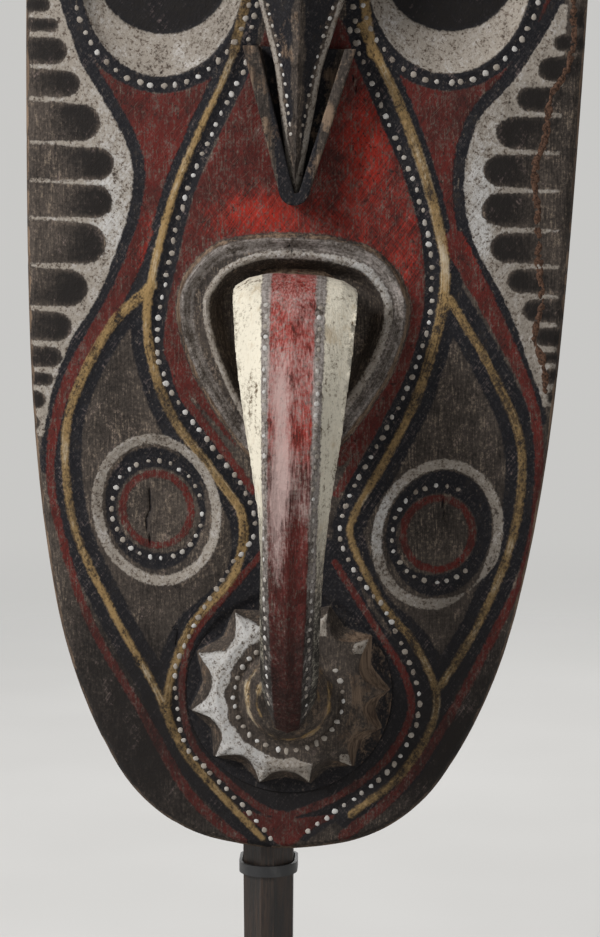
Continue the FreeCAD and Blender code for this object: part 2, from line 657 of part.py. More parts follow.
def foot_socket():
    """The taller hoop on the base that the post's foot drops into."""
    return hoop(SOCKET_THICK, BASE_TOP, SOCKET_HEIGHT)


def upright_front_y():
    """Y of the upright's front, on the strap's flat back."""
    return HOOP_BACK + STRAP_THICK


def upright_bar():
    """The flat bar behind the post, welded to the base, the socket and the strap."""
    low, high = BASE_TOP, STRAP_TOP_Z + UPRIGHT_ABOVE_STRAP
    bar = Part.makeBox(UPRIGHT_WIDTH, UPRIGHT_THICK, high - low,
                       Vector(POST_X - UPRIGHT_WIDTH / 2, upright_front_y(), low))
    top = [e for e in bar.Edges if e.BoundBox.ZMin > high - 1e-3]
    bar = bar.makeFillet(2.0, top)
    notch = Part.makeBox(UPRIGHT_WIDTH + 2, SOCKET_THICK - STRAP_THICK, SOCKET_HEIGHT,
                         Vector(POST_X - UPRIGHT_WIDTH / 2 - 1, upright_front_y(), BASE_TOP))
    return bar.cut(notch)


def base_plate():
    """The steel base."""
    corner = Vector(-BASE_WIDTH / 2, -BASE_DEPTH / 2, FELT_THICK)
    plate = Part.makeBox(BASE_WIDTH, BASE_DEPTH, BASE_THICK, corner)
    corners = [e for e in plate.Edges if e.BoundBox.ZLength > BASE_THICK / 2]
    plate = plate.makeFillet(BASE_CORNER, corners)
    rim = [e for e in plate.Edges if e.BoundBox.ZMin > BASE_TOP - 1e-3]
    return plate.makeChamfer(BASE_CHAMFER, rim)


def base_felt():
    """The felt sheet glued under the base."""
    width, depth = BASE_WIDTH - 2 * FELT_INSET, BASE_DEPTH - 2 * FELT_INSET
    sheet = Part.makeBox(width, depth, FELT_THICK, Vector(-width / 2, -depth / 2, 0))
    corners = [e for e in sheet.Edges if e.BoundBox.ZLength > FELT_THICK / 2]
    return sheet.makeFillet(BASE_CORNER - FELT_INSET, corners)


def pieces():
    """Every piece as (name, what builds it)."""
    listed = [("face_board", face_board), ("hook_nose", hook_nose), ("nose_wedge", nose_wedge),
              ("mouth_rosette", mouth_rosette), ("upper_bill", upper_bill), ("lower_bill", lower_bill),
              ("back_post", back_post), ("collar_strap", collar_strap), ("foot_socket", foot_socket),
              ("upright_bar", upright_bar), ("base_plate", base_plate), ("base_felt", base_felt)]
    for index, side in enumerate(("left", "right")):
        listed.append((f"rosette_dowel_{side}", lambda i=index: dowel("rosette", i)))
    for index, place in enumerate(("low", "high")):
        listed.append((f"lower_bill_dowel_{place}", lambda i=index: dowel("lower_bill", i)))
        listed.append((f"head_dowel_{place}", lambda i=index: dowel("head", i)))
    for index in range(len(POST_PEG_HEIGHTS)):
        listed.append((f"post_peg_{index + 1}", lambda i=index: post_peg(i)))
    return listed


def main():
    os.makedirs("parts", exist_ok=True)
    for name, build in pieces():
        shape = build()
        if len(shape.Solids) != 1 or not shape.isValid() or shape.Volume <= 0:
            raise ValueError(f"{name} is not one good solid")
        print(name, round(shape.Volume), "mm3")
        shape.exportStep(f"parts/{name}.step")


main()
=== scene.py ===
"""Dresses the carved and painted wooden mask and its black steel stand.

Lengths in this file are in millimetres and in the board's own frame, unless a name says otherwise. There z is 0
at the board's foot and y is 0 on its flat back. to_row() takes them to metres in the row's frame.
"""
import math

import bmesh
import bpy
import numpy as np
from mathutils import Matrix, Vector, noise
from mathutils.bvhtree import BVHTree


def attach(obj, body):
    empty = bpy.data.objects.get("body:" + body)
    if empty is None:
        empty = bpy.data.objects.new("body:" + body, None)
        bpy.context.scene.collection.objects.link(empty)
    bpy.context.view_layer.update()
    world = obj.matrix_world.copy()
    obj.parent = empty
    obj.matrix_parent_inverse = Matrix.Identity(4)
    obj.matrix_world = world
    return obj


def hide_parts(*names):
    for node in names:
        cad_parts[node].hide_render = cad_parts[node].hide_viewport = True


bl_info = {
    "name": "Carved mask dressing",
    "version": (1, 0, 0),
    "blender": (4, 5, 0),
    "location": "3D View > Sidebar > Carved mask",
    "description": "Carves, paints and lights a tall river mask and its stand",
    "category": "Object",
}

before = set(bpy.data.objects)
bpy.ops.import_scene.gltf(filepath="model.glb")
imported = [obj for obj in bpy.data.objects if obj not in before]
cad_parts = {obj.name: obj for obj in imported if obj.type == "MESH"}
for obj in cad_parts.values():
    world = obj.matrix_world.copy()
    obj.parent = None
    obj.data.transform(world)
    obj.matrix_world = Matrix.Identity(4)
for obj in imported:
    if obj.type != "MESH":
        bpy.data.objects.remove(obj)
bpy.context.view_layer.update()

# ------------------------------------------------------ the board's frame, as the construction has it
FOOT = (-8.3, 0.0, 159.0)
LEAN = math.radians(2.0)
HEIGHT = 955.0
MID_THICK, END_THICK = 28.0, 17.0
CROWN_RADIUS = 803.0
RIM_BEVEL, BACK_BEVEL = 4.0, 2.0

COLLAR = (-0.9, 293.5)
COLLAR_HALF, COLLAR_RISE, COLLAR_DROP = 61.0, 42.0, 91.0
# the collar's steps, from its rim inwards: raised lip, groove, inner ridge and the recess behind the nose
LIP_RISE, GROOVE_DEPTH, RIDGE_RISE, RECESS_DEPTH = 4.2, 2.6, 2.1, 10.3
GROOVE_AT, RIDGE_AT, RECESS_AT = 4.6, 10.4, 16.0
TEARDROP = ((0.0, 1.0), (0.38, 0.96), (0.72, 0.80), (0.95, 0.40), (1.0, 0.0), (0.91, -0.25), (0.72, -0.50),
            (0.44, -0.76), (0.20, -0.93), (0.0, -1.0))
EYES = ((-75.6, 469.8), (75.1, 476.4))
EYE_HALF = (43.5, 54.0)
PUPIL_HALF = (35.0, 31.5)
EYE_DEPTH, PUPIL_STEP = 8.2, 0.8
CHEEKS = ((-70.6, 185.2), (80.8, 177.6))
CHEEK_TILTS = (-14.0, 14.0)
CHEEK_HALF, CHEEK_CORE = (35.5, 42.0), (18.5, 19.5)
CHEEK_DEPTH = 2.6
ROSETTE = (4.0, 88.7)
ROSETTE_SEAT, SEAT_DEPTH = 57.0, 1.8
FACE_RISE, HUB_RISE, TOOTH_REACH, TOOTH_ROOT, FOOT_ROOT = 14.2, 10.0, 51.0, 40.0, 48.5
TOOTH_ANGLES = (4, 37, 67, 94, 125, 158, 192, 223, 254, 285, 313, 341)
BILL_X, BILL_TIP_Z = -2.0, 355.5
TROUGH_HALF, TROUGH_LENGTH, TROUGH_DEPTH = 27.0, 78.0, 2.5
NOSE_ROOT, NOSE_TIP = (0.0, 315.5), (4.5, 72.5)
# how far the nose's left flank is drawn in and its right one let out, by height, and how its top edge rises
FLANK_LEVELS = (80, 92, 127, 149, 170, 191, 217, 253, 284, 301)
DRAWN_LEFT = (0, 0.2, 2.6, 3.8, 5.2, 5.2, 4.2, 3.0, 1.4, 0.0)
LET_RIGHT = (2.2, 2.4, 0.2, -0.5, -0.8, -0.4, 0, 0, 0.8, 1.8)
TOP_ARCH = ((0, 8, 15, 24, 31), (2.6, 5.0, 6.4, 7.0, 4.4))

# ---------------------------------------------------------------- painted lines, each from top to bottom
DOT_LINES = {
    -1: ((-29, 434), (-32, 419), (-46, 390), (-59, 357), (-67, 320), (-73, 280), (-67, 254), (-51, 232),
         (-35, 213), (-23, 197), (-17, 177), (-28, 158), (-42, 136), (-56, 106), (-58, 92), (-52, 58),
         (-33, 38), (-11, 16), (-3, 6)),
    1: ((23, 446), (30, 430), (45, 398), (60, 366), (70, 333), (72, 298), (63, 260), (46, 224), (31, 192),
        (29, 172), (41, 151), (54, 136), (65, 114), (74, 90), (72, 69), (57, 44), (30, 22), (15, 10)),
}
YELLOW_LINES = (
    ((-36, 432), (-42, 415), (-55, 385), (-67, 352), (-76, 312), (-78, 279), (-65, 239), (-38, 204),
     (-24, 182), (-28, 152), (-51, 121), (-62, 82), (-54, 57), (-36, 35), (-8, 7)),
    ((-76, 306), (-100, 280), (-120, 231), (-116, 177), (-95, 132), (-70, 90), (-62, 73)),
    ((30, 446), (53, 402), (72, 351), (79, 309), (68, 256), (51, 217), (36, 188), (35, 172), (52, 140),
     (73, 114), (84, 82), (67, 46), (40, 22)),
    ((82, 304), (105, 268), (123, 228), (122, 181), (106, 132), (86, 95)),
)
YELLOW_WIDTHS = ((2.8, 3.4, 4.2, 5.0, 4.6, 4.4, 4.4, 3.4), (5.0, 4.4, 4.0, 3.6),
                 (4.2, 5.4, 5.0, 4.2, 3.6, 3.8, 4.2), (4.0, 4.4, 4.2, 4.0))
RED_LINES = (
    ((-81, 334), (-95, 299), (-120, 253), (-129, 209), (-122, 168), (-104, 120), (-77, 76), (-48, 29),
     (-19, 4)),
    ((83, 335), (104, 299), (121, 267), (131, 240), (134, 203), (128, 159), (110, 116), (92, 79), (67, 38),
     (36, 9)),
    ((-67, 277), (-59, 250), (-44, 230), (-19, 198)),
    ((63, 305), (60, 271), (37, 220), (26, 198)),
    ((-11, 167), (-34, 138), (-50, 115), (-54, 87), (-48, 59), (-32, 41), (-10, 24), (4, 20)),
    ((26, 161), (52, 122), (66, 100), (70, 78), (57, 52), (33, 32), (7, 20)),
)
RED_WIDTHS = ((9.5, 8.5, 6.5, 4.5, 4.0, 4.5, 5.0, 5.5, 6.0),
              (12.0, 9.0, 6.0, 5.0, 4.5, 4.5, 5.0, 5.0, 5.5, 6.0), (4.5, 4.5), (6.0, 4.5), (3.6, 4.2),
              (3.6, 4.2))
# under the left eye, under the right eye, round the bill and the collar, and the V at the foot
RED_FIELDS = (
    ((-139, 500), (-124, 452), (-110, 432), (-98, 424), (-78, 421), (-58, 422), (-40, 430), (-50, 398),
     (-58, 378), (-66, 357), (-76, 333), (-91, 318), (-87, 348), (-86, 366), (-91, 384), (-103, 405),
     (-117, 424), (-129, 455), (-144, 500)),
    ((138, 500), (121, 458), (106, 438), (90, 429), (73, 427), (55, 429), (37, 438), (51, 404), (60, 383),
     (69, 358), (77, 330), (93, 316), (86, 344), (84, 366), (89, 392), (107, 417), (127, 452), (144, 500)),
    ((-3, 469), (18, 450), (28, 426), (42, 396), (56, 366), (66, 333), (68, 298), (61, 268), (41, 231),
     (22, 211), (-18, 215), (-46, 240), (-64, 260), (-69, 280), (-63, 318), (-55, 355), (-42, 388),
     (-29, 417), (-17, 450)),
    ((-21, 22), (3, 18), (31, 21), (19, 13), (5, 2), (-9, 12)),
)
LOWER_BLACK = ((-17, 177), (29, 172), (46, 146), (65, 114), (74, 90), (72, 69), (57, 44), (30, 22), (3, 6),
               (-11, 16), (-33, 38), (-52, 58), (-58, 92), (-56, 106), (-42, 136), (-17, 177))
# Soft patches: strength, place, half width and half height. They say where the paints are fresh, where the wood
# is darker (painted shade towards the foot, darker patches above it), where thin paints have gone, where bare
# brown shows and where light catches the collar.
FRESH = ((0.85, -20, 345, 42, 22), (0.85, 35, 385, 20, 45), (0.2, -80, 350, 12, 40), (0.5, 60, 335, 12, 40),
         (0.5, 0, 620, 60, 90), (1.0, -76, 308, 9, 24), (0.9, -100, 352, 10, 32), (1.2, 96, 352, 10, 30),
         (1.0, 45, 186, 14, 32), (0.8, 38, 312, 20, 22), (0.6, -40, 420, 16, 14))
SHADE_AND_DARK_PATCHES = ((0.9, -78, 62, 40, 55), (0.9, 100, 60, 34, 55), (0.6, 2, 40, 48, 30), (0.2, -100, 260, 18, 45),
          (0.1, 110, 250, 20, 50))
THINNED = ((1.0, -58, 236, 26, 38), (0.9, 98, 124, 26, 42), (0.8, 60, 240, 22, 44), (0.7, -116, 190, 14, 50),
           (0.6, 60, 30, 30, 24))
THINNED_HIGH = ((0.9, -38, 446, 30, 34), (0.8, 30, 470, 30, 26))
HELD_RIGHT = ((0.5, 78, 310, 14, 30),)
BARED = ((1.0, -38, 152, 24, 28), (1.0, 48, 142, 22, 30))
LIT_LIP = ((1.0, -44, 318, 26, 26), (0.5, 30, 326, 24, 14))
LOST_RIDGE = ((0.5, -50, 250, 25, 50),)
# the combs down both edges: inner edge of the spine, then the tines' levels, then the tips of the dark lobes
COMB_SPINES = {
    -1: ((-150, 520), (-136, 469), (-130, 454), (-118, 423), (-105, 403), (-93, 382), (-88, 364), (-91, 340),
         (-98, 318), (-106, 297), (-119, 275), (-127, 253), (-132, 231), (-135, 206)),
    1: ((148, 500), (133, 458), (112, 422), (93, 398), (87, 367), (93, 336), (105, 315), (116, 295),
        (125, 272), (132, 256), (136, 241)),
}
COMB_TINES = {
    -1: (470, 457, 446, 436, 419, 402, 379, 359, 339, 314, 291, 272, 258, 248, 235, 222),
    1: (461, 447, 435, 419, 403, 383, 363, 342, 323, 307, 292, 279, 270, 259, 248),
}
LOBE_TIPS = {
    -1: ((-141, 470), (-133, 447), (-128, 437), (-122, 419), (-113, 402), (-101, 380), (-97, 359),
         (-100, 340), (-104, 316), (-116, 292), (-121, 272), (-128, 254), (-134, 235), (-137, 215)),
    1: ((142, 461), (131, 441), (124, 428), (113, 411), (103, 393), (97, 373), (97, 352), (102, 333),
        (112, 315), (121, 299), (128, 285), (132, 270), (137, 250)),
}
TINE_REACH = {
    -1: ((-140, 200), (-142, 291), (-145, 402), (-147, 470)),
    1: ((140, 240), (140, 300), (137, 400), (138, 470)),
}
MUD_TRAIL = ((141, 490), (141, 464), (141, 434), (131, 411), (129, 390), (124, 375), (127, 348), (129, 322),
             (131, 304), (128, 286), (133, 271), (136, 252))
CRACKS = (
    ((-75, 196), (-74, 186), (-76, 178), (-73, 165)),
    ((-60, 121), (-57, 119), (-58, 112)),
    ((82, 199), (84, 184)),
    ((-4, 330), (-1, 325)),
    ((26, 420), (29, 409)),
)
# spacing of the board's rows of points, fine over the lower face and coarser above it
FINE_TOP, FINE_STEP, COARSE_STEP = 480, 1.5, 4.5
# the upper face, on the left; the right is its mirror image
UPPER_DOTS = ((-29, 434), (-24, 470), (-27, 520), (-52, 556), (-64, 610), (-58, 680), (-36, 760), (-14, 830),
              (0, 862))
UPPER_YELLOW = (
    ((-36, 432), (-30, 470), (-34, 514), (-60, 550), (-72, 606), (-66, 684), (-44, 768), (-20, 842),
     (0, 882)),
    ((-62, 548), (-92, 556), (-122, 540), (-137, 512)),
)
UPPER_RED = ((-139, 500), (-138, 540), (-118, 590), (-104, 650), (-98, 710), (-80, 780), (-48, 860),
             (-16, 912), (0, 922))
UPPER_COMB = ((-150, 490), (-144, 530), (-130, 575), (-116, 620), (-109, 670), (-110, 715), (-104, 760),
              (-88, 812))
UPPER_TINES = (500, 520, 545, 570, 596, 622, 648, 674, 700, 726, 752, 778, 800)
UPPER_TIPS = ((-147, 500), (-141, 560), (-128, 610), (-120, 660), (-119, 715), (-113, 760), (-99, 800))
UPPER_REACH = ((-146, 500), (-143, 600), (-134, 700), (-112, 800))


# ---------------------------------------------------------------- plane geometry
def to_row(points):
    """Points of the board's frame in millimetres, as points of the row's frame in metres."""
    p = np.asarray(points, float)
    c, s = math.cos(LEAN), math.sin(LEAN)
    x, y, z = p[..., 0], p[..., 1], p[..., 2]
    return np.stack((x * c + z * s + FOOT[0], y + FOOT[1], z * c - x * s + FOOT[2]), -1) * 0.001


def to_board(points):
    """The reverse of to_row()."""
    p = np.asarray(points, float) * 1000.0 - np.array(FOOT)
    c, s = math.cos(LEAN), math.sin(LEAN)
    x, y, z = p[..., 0], p[..., 1], p[..., 2]
    return np.stack((x * c - z * s, y, z * c + x * s), -1)


def smooth(points, closed=False, step=2.5):
    """A rounded curve through the points, as a fine polyline with about one point per step."""
    p = np.array(points, float)
    ends = (p[-1], p[0], p[1]) if closed else (2 * p[0] - p[1], 2 * p[-1] - p[-2], None)
    whole = np.vstack((ends[0], p, ends[1], ends[2])) if closed else np.vstack((ends[0], p, ends[1]))
    out = []
    for a, b, c, d in zip(whole, whole[1:], whole[2:], whole[3:]):
        count = max(2, int(np.linalg.norm(c - b) / step))
        t = np.arange(count)[:, None] / count
        out.append(0.5 * (2 * b + (c - a) * t + (2 * a - 5 * b + 4 * c - d) * t ** 2
                          + (3 * b - a - 3 * c + d) * t ** 3))
    out.append(whole[-2:-1] if not closed else p[:1])
    return np.vstack(out)


def along(line):
    """Distance from the line's start to each of its points."""
    return np.concatenate(((0.0,), np.cumsum(np.linalg.norm(np.diff(line, axis=0), axis=1))))


def distance(xz, line, reach=40.0):
    """Distance of each place to a polyline, and how far along the line its nearest point is."""
    best, where = np.full(len(xz), 1e3), np.zeros(len(xz))
    low, high = line.min(0) - reach, line.max(0) + reach
    near = np.flatnonzero(((xz > low) & (xz < high)).all(1))
    q, travelled = xz[near], along(line)
    b, w = best[near], where[near]
    for i in range(len(line) - 1):
        run = line[i + 1] - line[i]
        length = max(np.dot(run, run), 1e-9)
        t = np.clip((q - line[i]) @ run / length, 0, 1)
        d = np.linalg.norm(q - line[i] - t[:, None] * run, axis=1)
        closer = d < b
        b = np.where(closer, d, b)
        w = np.where(closer, travelled[i] + t * math.sqrt(length), w)
    best[near], where[near] = b, w
    return best, where


def inside(xz, ring):
    """Signed distance to a closed outline, below zero inside it."""
    d, _ = distance(xz, ring)
    odd = np.zeros(len(xz), bool)
    x, z = xz[:, 0], xz[:, 1]
    for (ax, az), (bx, bz) in zip(ring[:-1], ring[1:]):
        if az != bz:
            odd ^= ((az > z) != (bz > z)) & (x < (bx - ax) * (z - az) / (bz - az) + ax)
    return np.where(odd, -d, d)


def stripe(xz, line, widths):
    """Signed distance to a painted line whose width changes evenly between the widths given."""
    d, where = distance(xz, line)
    at = np.linspace(0, along(line)[-1], len(widths))
    return d - np.interp(where, at, widths) / 2


def step(low, high, value):
    """Rises smoothly from 0 at low to 1 at high."""
    t = np.clip((value - low) / (high - low), 0, 1)
    return t * t * (3 - 2 * t)


def bump(value, width):
    """1 where the value is 0, falling to 0 on both sides within about two widths."""
    return np.exp(-(value / width) ** 2)


def oval(xz, centre, half, tilt=0.0):
    """About the signed distance to a tilted oval's edge, and the angle round it."""
    a = math.radians(tilt)
    dx, dz = xz[:, 0] - centre[0], xz[:, 1] - centre[1]
    u, v = dx * math.cos(a) - dz * math.sin(a), dx * math.sin(a) + dz * math.cos(a)
    share = np.hypot(u / half[0], v / half[1])
    radius = np.hypot(u, v) / np.maximum(share, 1e-6)
    return (share - 1) * radius, np.arctan2(v, u)


def rough(points, scale, seed=0.0):
    """Soft unevenness from -1 to 1 with bumps about scale millimetres wide."""
    return np.array([noise.noise(Vector(p) / scale + Vector((seed, 7.3, 1.9))) for p in points])


def teardrop_ring():
    """The collar's outer edge."""
    half = [(x * COLLAR_HALF, z * (COLLAR_RISE if z > 0 else COLLAR_DROP)) for x, z in TEARDROP]
    ring = half + [(-x, z) for x, z in reversed(half[1:-1])]
    return smooth(np.array(ring) + COLLAR, closed=True)


# ---------------------------------------------------------------- relief and paint of the board
def crown_y(x, z):
    """Y of the board's plain front, crowned from side to side and thinner towards both ends."""
    from_middle = 2 * z / HEIGHT - 1
    thick = END_THICK + (MID_THICK - END_THICK) * (1 - from_middle ** 2)
    return CROWN_RADIUS - np.sqrt(CROWN_RADIUS ** 2 - x ** 2) - thick


def cone_edge(z):
    """Half width of the painted band's foot on the nose, by height."""
    return np.interp(z, (60, 90, 150, 240, 316), (6.5, 7.5, 10.0, 11.2, 11.6))


def ridge_lean(x):
    """The collar's inner ridge stands further in on the left."""
    return 4.6 * step(-14, -48, x)


def board_relief(xz):
    """How far the carving stands proud of the plain front."""
    x, z = xz[:, 0], xz[:, 1]
    collar = inside(xz, teardrop_ring())
    inner = collar + ridge_lean(x)
    lip = LIP_RISE * step(2.5, -2.5, collar) + 0.9 * bump(collar + 1.8, 1.8)
    lip = lip - GROOVE_DEPTH * step(-3.0, -7.5, collar) + RIDGE_RISE * bump(inner + RIDGE_AT, 2.1)
    proud = lip - RECESS_DEPTH * step(-12.6, -20.0, inner)
    for centre in EYES:
        rim, _ = oval(xz, centre, EYE_HALF)
        pupil, _ = oval(xz, centre, PUPIL_HALF)
        slope = np.clip(rim / (rim - pupil - 1e-6), 0, 1)
        dish = np.where(pupil < 0, 1.0, np.where(rim < 0, slope ** 0.8, 0.0))
        proud -= EYE_DEPTH * dish * step(0.8, -1.6, rim) - 0.8 * bump(rim - 0.8, 2.0)
        proud -= PUPIL_STEP * step(0.6, -0.8, pupil)
    for centre, tilt in zip(CHEEKS, CHEEK_TILTS):
        rim, _ = oval(xz, centre, CHEEK_HALF, tilt)
        proud -= CHEEK_DEPTH * step(1.0, -13.0, rim) - 0.5 * bump(rim + 1.0, 2.2)
    for line in YELLOW_LINES:
        proud += 0.9 * bump(distance(xz, smooth(line))[0], 3.6)
    for line in DOT_LINES.values():
        proud -= 0.8 * bump(distance(xz, smooth(line))[0], 3.2)
    for crack in CRACKS:
        proud -= 0.9 * bump(distance(xz, smooth(crack, step=1.5))[0], 0.9)
    seat, _ = oval(xz, ROSETTE, (ROSETTE_SEAT, ROSETTE_SEAT))
    proud -= SEAT_DEPTH * step(0.0, -5.0, seat)
    taper = TROUGH_HALF * (z - BILL_TIP_Z + 6) / (TROUGH_LENGTH + 6)
    bill = np.maximum(np.abs(x - BILL_X) - taper + 3.0, z - BILL_TIP_Z - TROUGH_LENGTH)
    return proud - TROUGH_DEPTH * step(1.5, -2.0, bill)


def mirrored(line):
    """The same line on the other side of the face."""
    return tuple((-x, z) for x, z in line)


def by_height(line, z):
    """Distance from the middle of a line that runs up the board, at each height."""
    points = smooth(line)
    order = np.argsort(points[:, 1])
    return np.abs(np.interp(z, points[order, 1], points[order, 0]))


def patches(xz, table):
    """Soft patches added up, from rows of strength, x, z, half width and half height."""
    total = np.zeros(len(xz))
    for strength, x, z, wide, tall in table:
        total += strength * np.exp(-((xz[:, 0] - x) / wide) ** 2 - ((xz[:, 1] - z) / tall) ** 2)
    return total


def filled(xz, ring):
    """Signed distance to an area given by its corners."""
    return inside(xz, smooth(ring + ring[:1]))


def comb_paint(xz, spine, tines, tips, reach, side):
    """Signed distance to one white comb, and how sooty its dark lobes are. The comb is a spine whose thin tines
    pass between round-ended lobes, which are darkest near their round ends."""
    out, z = xz[:, 0] * side, xz[:, 1]
    from_spine = out - by_height(spine, z)
    lobes = np.full(len(xz), 1e3)
    levels = sorted(tines)
    for low, high in zip(levels, levels[1:]):
        middle, half = (low + high) / 2, (high - low) / 2 - 1.5
        start = by_height(tips, np.array([middle]))[0] + half * 1.1
        u = np.maximum(start - out, 0) / 1.1
        grown = half + 0.9 * step(-2, 40, out - start)
        lobes = np.minimum(lobes, np.hypot(u, z - middle) - grown)
    ends = out - by_height(reach, z)
    span = np.maximum(levels[0] - z, z - levels[-1])
    darkening = step(0.5, -4.0, lobes) * step(34, 4, out - by_height(tips, z))
    return np.maximum.reduce((-lobes, -from_spine, ends, span)), darkening


def board_paint(xz):
    """Signed distances to each paint's areas, below zero where it lies, and the fields of wear and smoke."""
    x, z = xz[:, 0], xz[:, 1]
    far = np.full(len(xz), 60.0)
    red, yellow, white, black = far.copy(), far.copy(), far.copy(), far.copy()
    for line, widths in zip(RED_LINES, RED_WIDTHS):
        red = np.minimum(red, stripe(xz, smooth(line), widths))
    flow = far.copy()
    for line, widths in zip(YELLOW_LINES, YELLOW_WIDTHS):
        centre, _ = distance(xz, smooth(line))
        flow = np.minimum(flow, centre)
        yellow = np.minimum(yellow, stripe(xz, smooth(line), widths))
        black = np.minimum(black, centre - 9.0)
    for ring in RED_FIELDS[2:]:
        red = np.minimum(red, filled(xz, ring))
    for ring, side in zip(RED_FIELDS, (-1, 1)):
        spine, _ = distance(xz, smooth(COMB_SPINES[side]))
        red = np.minimum(red, np.maximum.reduce((filled(xz, ring), 6.2 - flow, 6.6 - spine)))
    for side, line in DOT_LINES.items():
        black = np.minimum(black, stripe(xz, smooth(line), (8.5, 8.5)))
    combs = [(COMB_SPINES[side], COMB_TINES[side], LOBE_TIPS[side], TINE_REACH[side], side)
             for side in (-1, 1)]
    combs += [(UPPER_COMB, UPPER_TINES, UPPER_TIPS, UPPER_REACH, -1)]
    combs += [(mirrored(UPPER_COMB), UPPER_TINES, mirrored(UPPER_TIPS), mirrored(UPPER_REACH), 1)]
    smoke_and_shade = np.zeros(len(xz))
    for spine, tines, tips, reach, side in combs:
        comb, darkening = comb_paint(xz, spine, tines, tips, reach, side)
        white, smoke_and_shade = np.minimum(white, comb), np.maximum(smoke_and_shade, darkening)
        black = np.minimum(black, distance(xz, smooth(np.array(spine) - (side * 3.5, 0)))[0] - 4.2)
    forehead = UPPER_DOTS[1:] + mirrored(UPPER_DOTS[1:-1])[::-1]
    red = np.minimum(red, filled(xz, forehead) + 4.0)
    for turn in (tuple, mirrored):
        red = np.minimum(red, stripe(xz, smooth(turn(UPPER_RED)), (5.0, 9.0, 7.0)))
        for line in UPPER_YELLOW:
            yellow = np.minimum(yellow, stripe(xz, smooth(turn(line)), (5.0, 5.0)))
        black = np.minimum(black, stripe(xz, smooth(turn(UPPER_DOTS)), (8.0, 8.0)))
    black = np.minimum(black, inside(xz, smooth(LOWER_BLACK)))
    for centre in EYES:
        rim, _ = oval(xz, centre, EYE_HALF)
        pupil, _ = oval(xz, centre, PUPIL_HALF)
        white = np.minimum(white, np.maximum(rim + 0.4, -pupil))
        black = np.minimum(black, np.minimum(pupil, np.abs(rim - 4.2) - 4.6))
        red = np.maximum(red, 8.6 - rim)
        smoke_and_shade = np.maximum(smoke_and_shade, step(2, -3, pupil))
    for centre, tilt in zip(CHEEKS, CHEEK_TILTS):
        rim, angle = oval(xz, centre, CHEEK_HALF, tilt)
        worn = 2.6 * step(0.6, 0.0, np.abs(angle + 0.75)) if centre[0] > 0 else 0.0
        white = np.minimum(white, np.abs(rim + 3.4) - 2.7 + worn)
        core, _ = oval(xz, centre, CHEEK_CORE, tilt)
        red = np.minimum(red, np.abs(core) - 1.9)
        black = np.minimum(black, np.maximum(rim + 7.0, -core + 2.5) + (1.0 if centre[0] < 0 else 0.0))
    collar = inside(xz, teardrop_ring())
    ridge = np.abs(collar + RIDGE_AT + ridge_lean(x))
    white = np.minimum(white, ridge - 2.1 + patches(xz, LOST_RIDGE))
    grey = np.abs(collar + GROOVE_AT) - 3.4
    red, black = np.maximum(red, 1.5 - collar), np.maximum(black, 1.0 - collar)
    crack = far.copy()
    for line in CRACKS:
        crack = np.minimum(crack, distance(xz, smooth(line, step=1.5))[0] - 0.55)
    bared = patches(xz, BARED)
    black = black + 5.0 * bared
    bare = 0.72 * bump(collar + 0.2, 1.8) + 0.4 * bump(collar + RECESS_AT, 3.0) + 0.36 * bared
    # Darker places: painted shade near the foot, where the light falls off, darker patches higher up, the sooty
    # cores of the combs' lobes and the dark pupils.
    smoke_and_shade = np.minimum(smoke_and_shade + patches(xz, SHADE_AND_DARK_PATCHES), 1.0)
    right_side = np.where((x > 25) & (z < 420) & (z > 60), 0.6, 0.0) - patches(xz, HELD_RIGHT)
    thin = np.minimum(patches(xz, THINNED), 1.0)
    thin = np.maximum.reduce((thin, patches(xz, THINNED_HIGH), right_side))
    thin = np.where(np.abs(collar + 8) < 12, np.clip(0.85 - patches(xz, LIT_LIP), 0, 1),
                    np.minimum(thin, 1.0))
    return {"red": red, "yellow": yellow, "white": white, "black": black, "grey": grey, "crack": crack,
            "flow": np.minimum(flow, np.abs(collar)), "bare": bare, "fresh_and_lit": patches(xz, FRESH),
            "smoke_and_shade": smoke_and_shade, "thin": thin}


# ---------------------------------------------------------------- meshes
def fresh_selection(obj=None):
    """Selects only the object given, or nothing."""
    bpy.ops.object.select_all(action="DESELECT")
    if obj is not None:
        obj.select_set(True)
        bpy.context.view_layer.objects.active = obj


def new_grid(name, columns, rows):
    """A flat grid of that many points each way, for its points to be moved."""
    bpy.ops.object.select_all(action="DESELECT")
    bpy.ops.mesh.primitive_grid_add(x_subdivisions=columns - 1, y_subdivisions=rows - 1, size=1.0)
    obj = bpy.context.active_object
    obj.name = obj.data.name = name
    return obj


def surface_of(name):
    """A piece's faces for rays to meet, without the board's one large back face."""
    mesh = bpy.data.objects[name].data
    faces = [face.vertices[:] for face in mesh.polygons if len(face.vertices) < 6]
    return BVHTree.FromPolygons([vert.co for vert in mesh.vertices], faces)


def points_of(mesh):
    """The mesh's points as rows of an array."""
    co = np.zeros(len(mesh.vertices) * 3)
    mesh.vertices.foreach_get("co", co)
    return co.reshape(-1, 3)


def move_points(mesh, points):
    """Puts the mesh's points at these places."""
    mesh.vertices.foreach_set("co", np.asarray(points, float).ravel())
    mesh.update()


FIELDS = {"red": 60.0, "yellow": 60.0, "white": 60.0, "black": 60.0, "grey": 60.0, "cream": 60.0,
          "crack": 60.0, "flow": 0.0, "bare": 0.0, "fresh_and_lit": 0.0, "rub_and_sheen": 0.0, "smoke_and_shade": 0.0, "thin": 0.0}


def keep_fields(obj, fields):
    """Stores each paint's distances on the mesh's points for its material to read."""
    for name, empty in FIELDS.items():
        values = np.broadcast_to(np.asarray(fields.get(name, empty), float), len(obj.data.vertices))
        layer = obj.data.attributes.get(name) or obj.data.attributes.new(name, "FLOAT", "POINT")
        layer.data.foreach_set("value", np.clip(values, -60, 60).astype(np.float32))


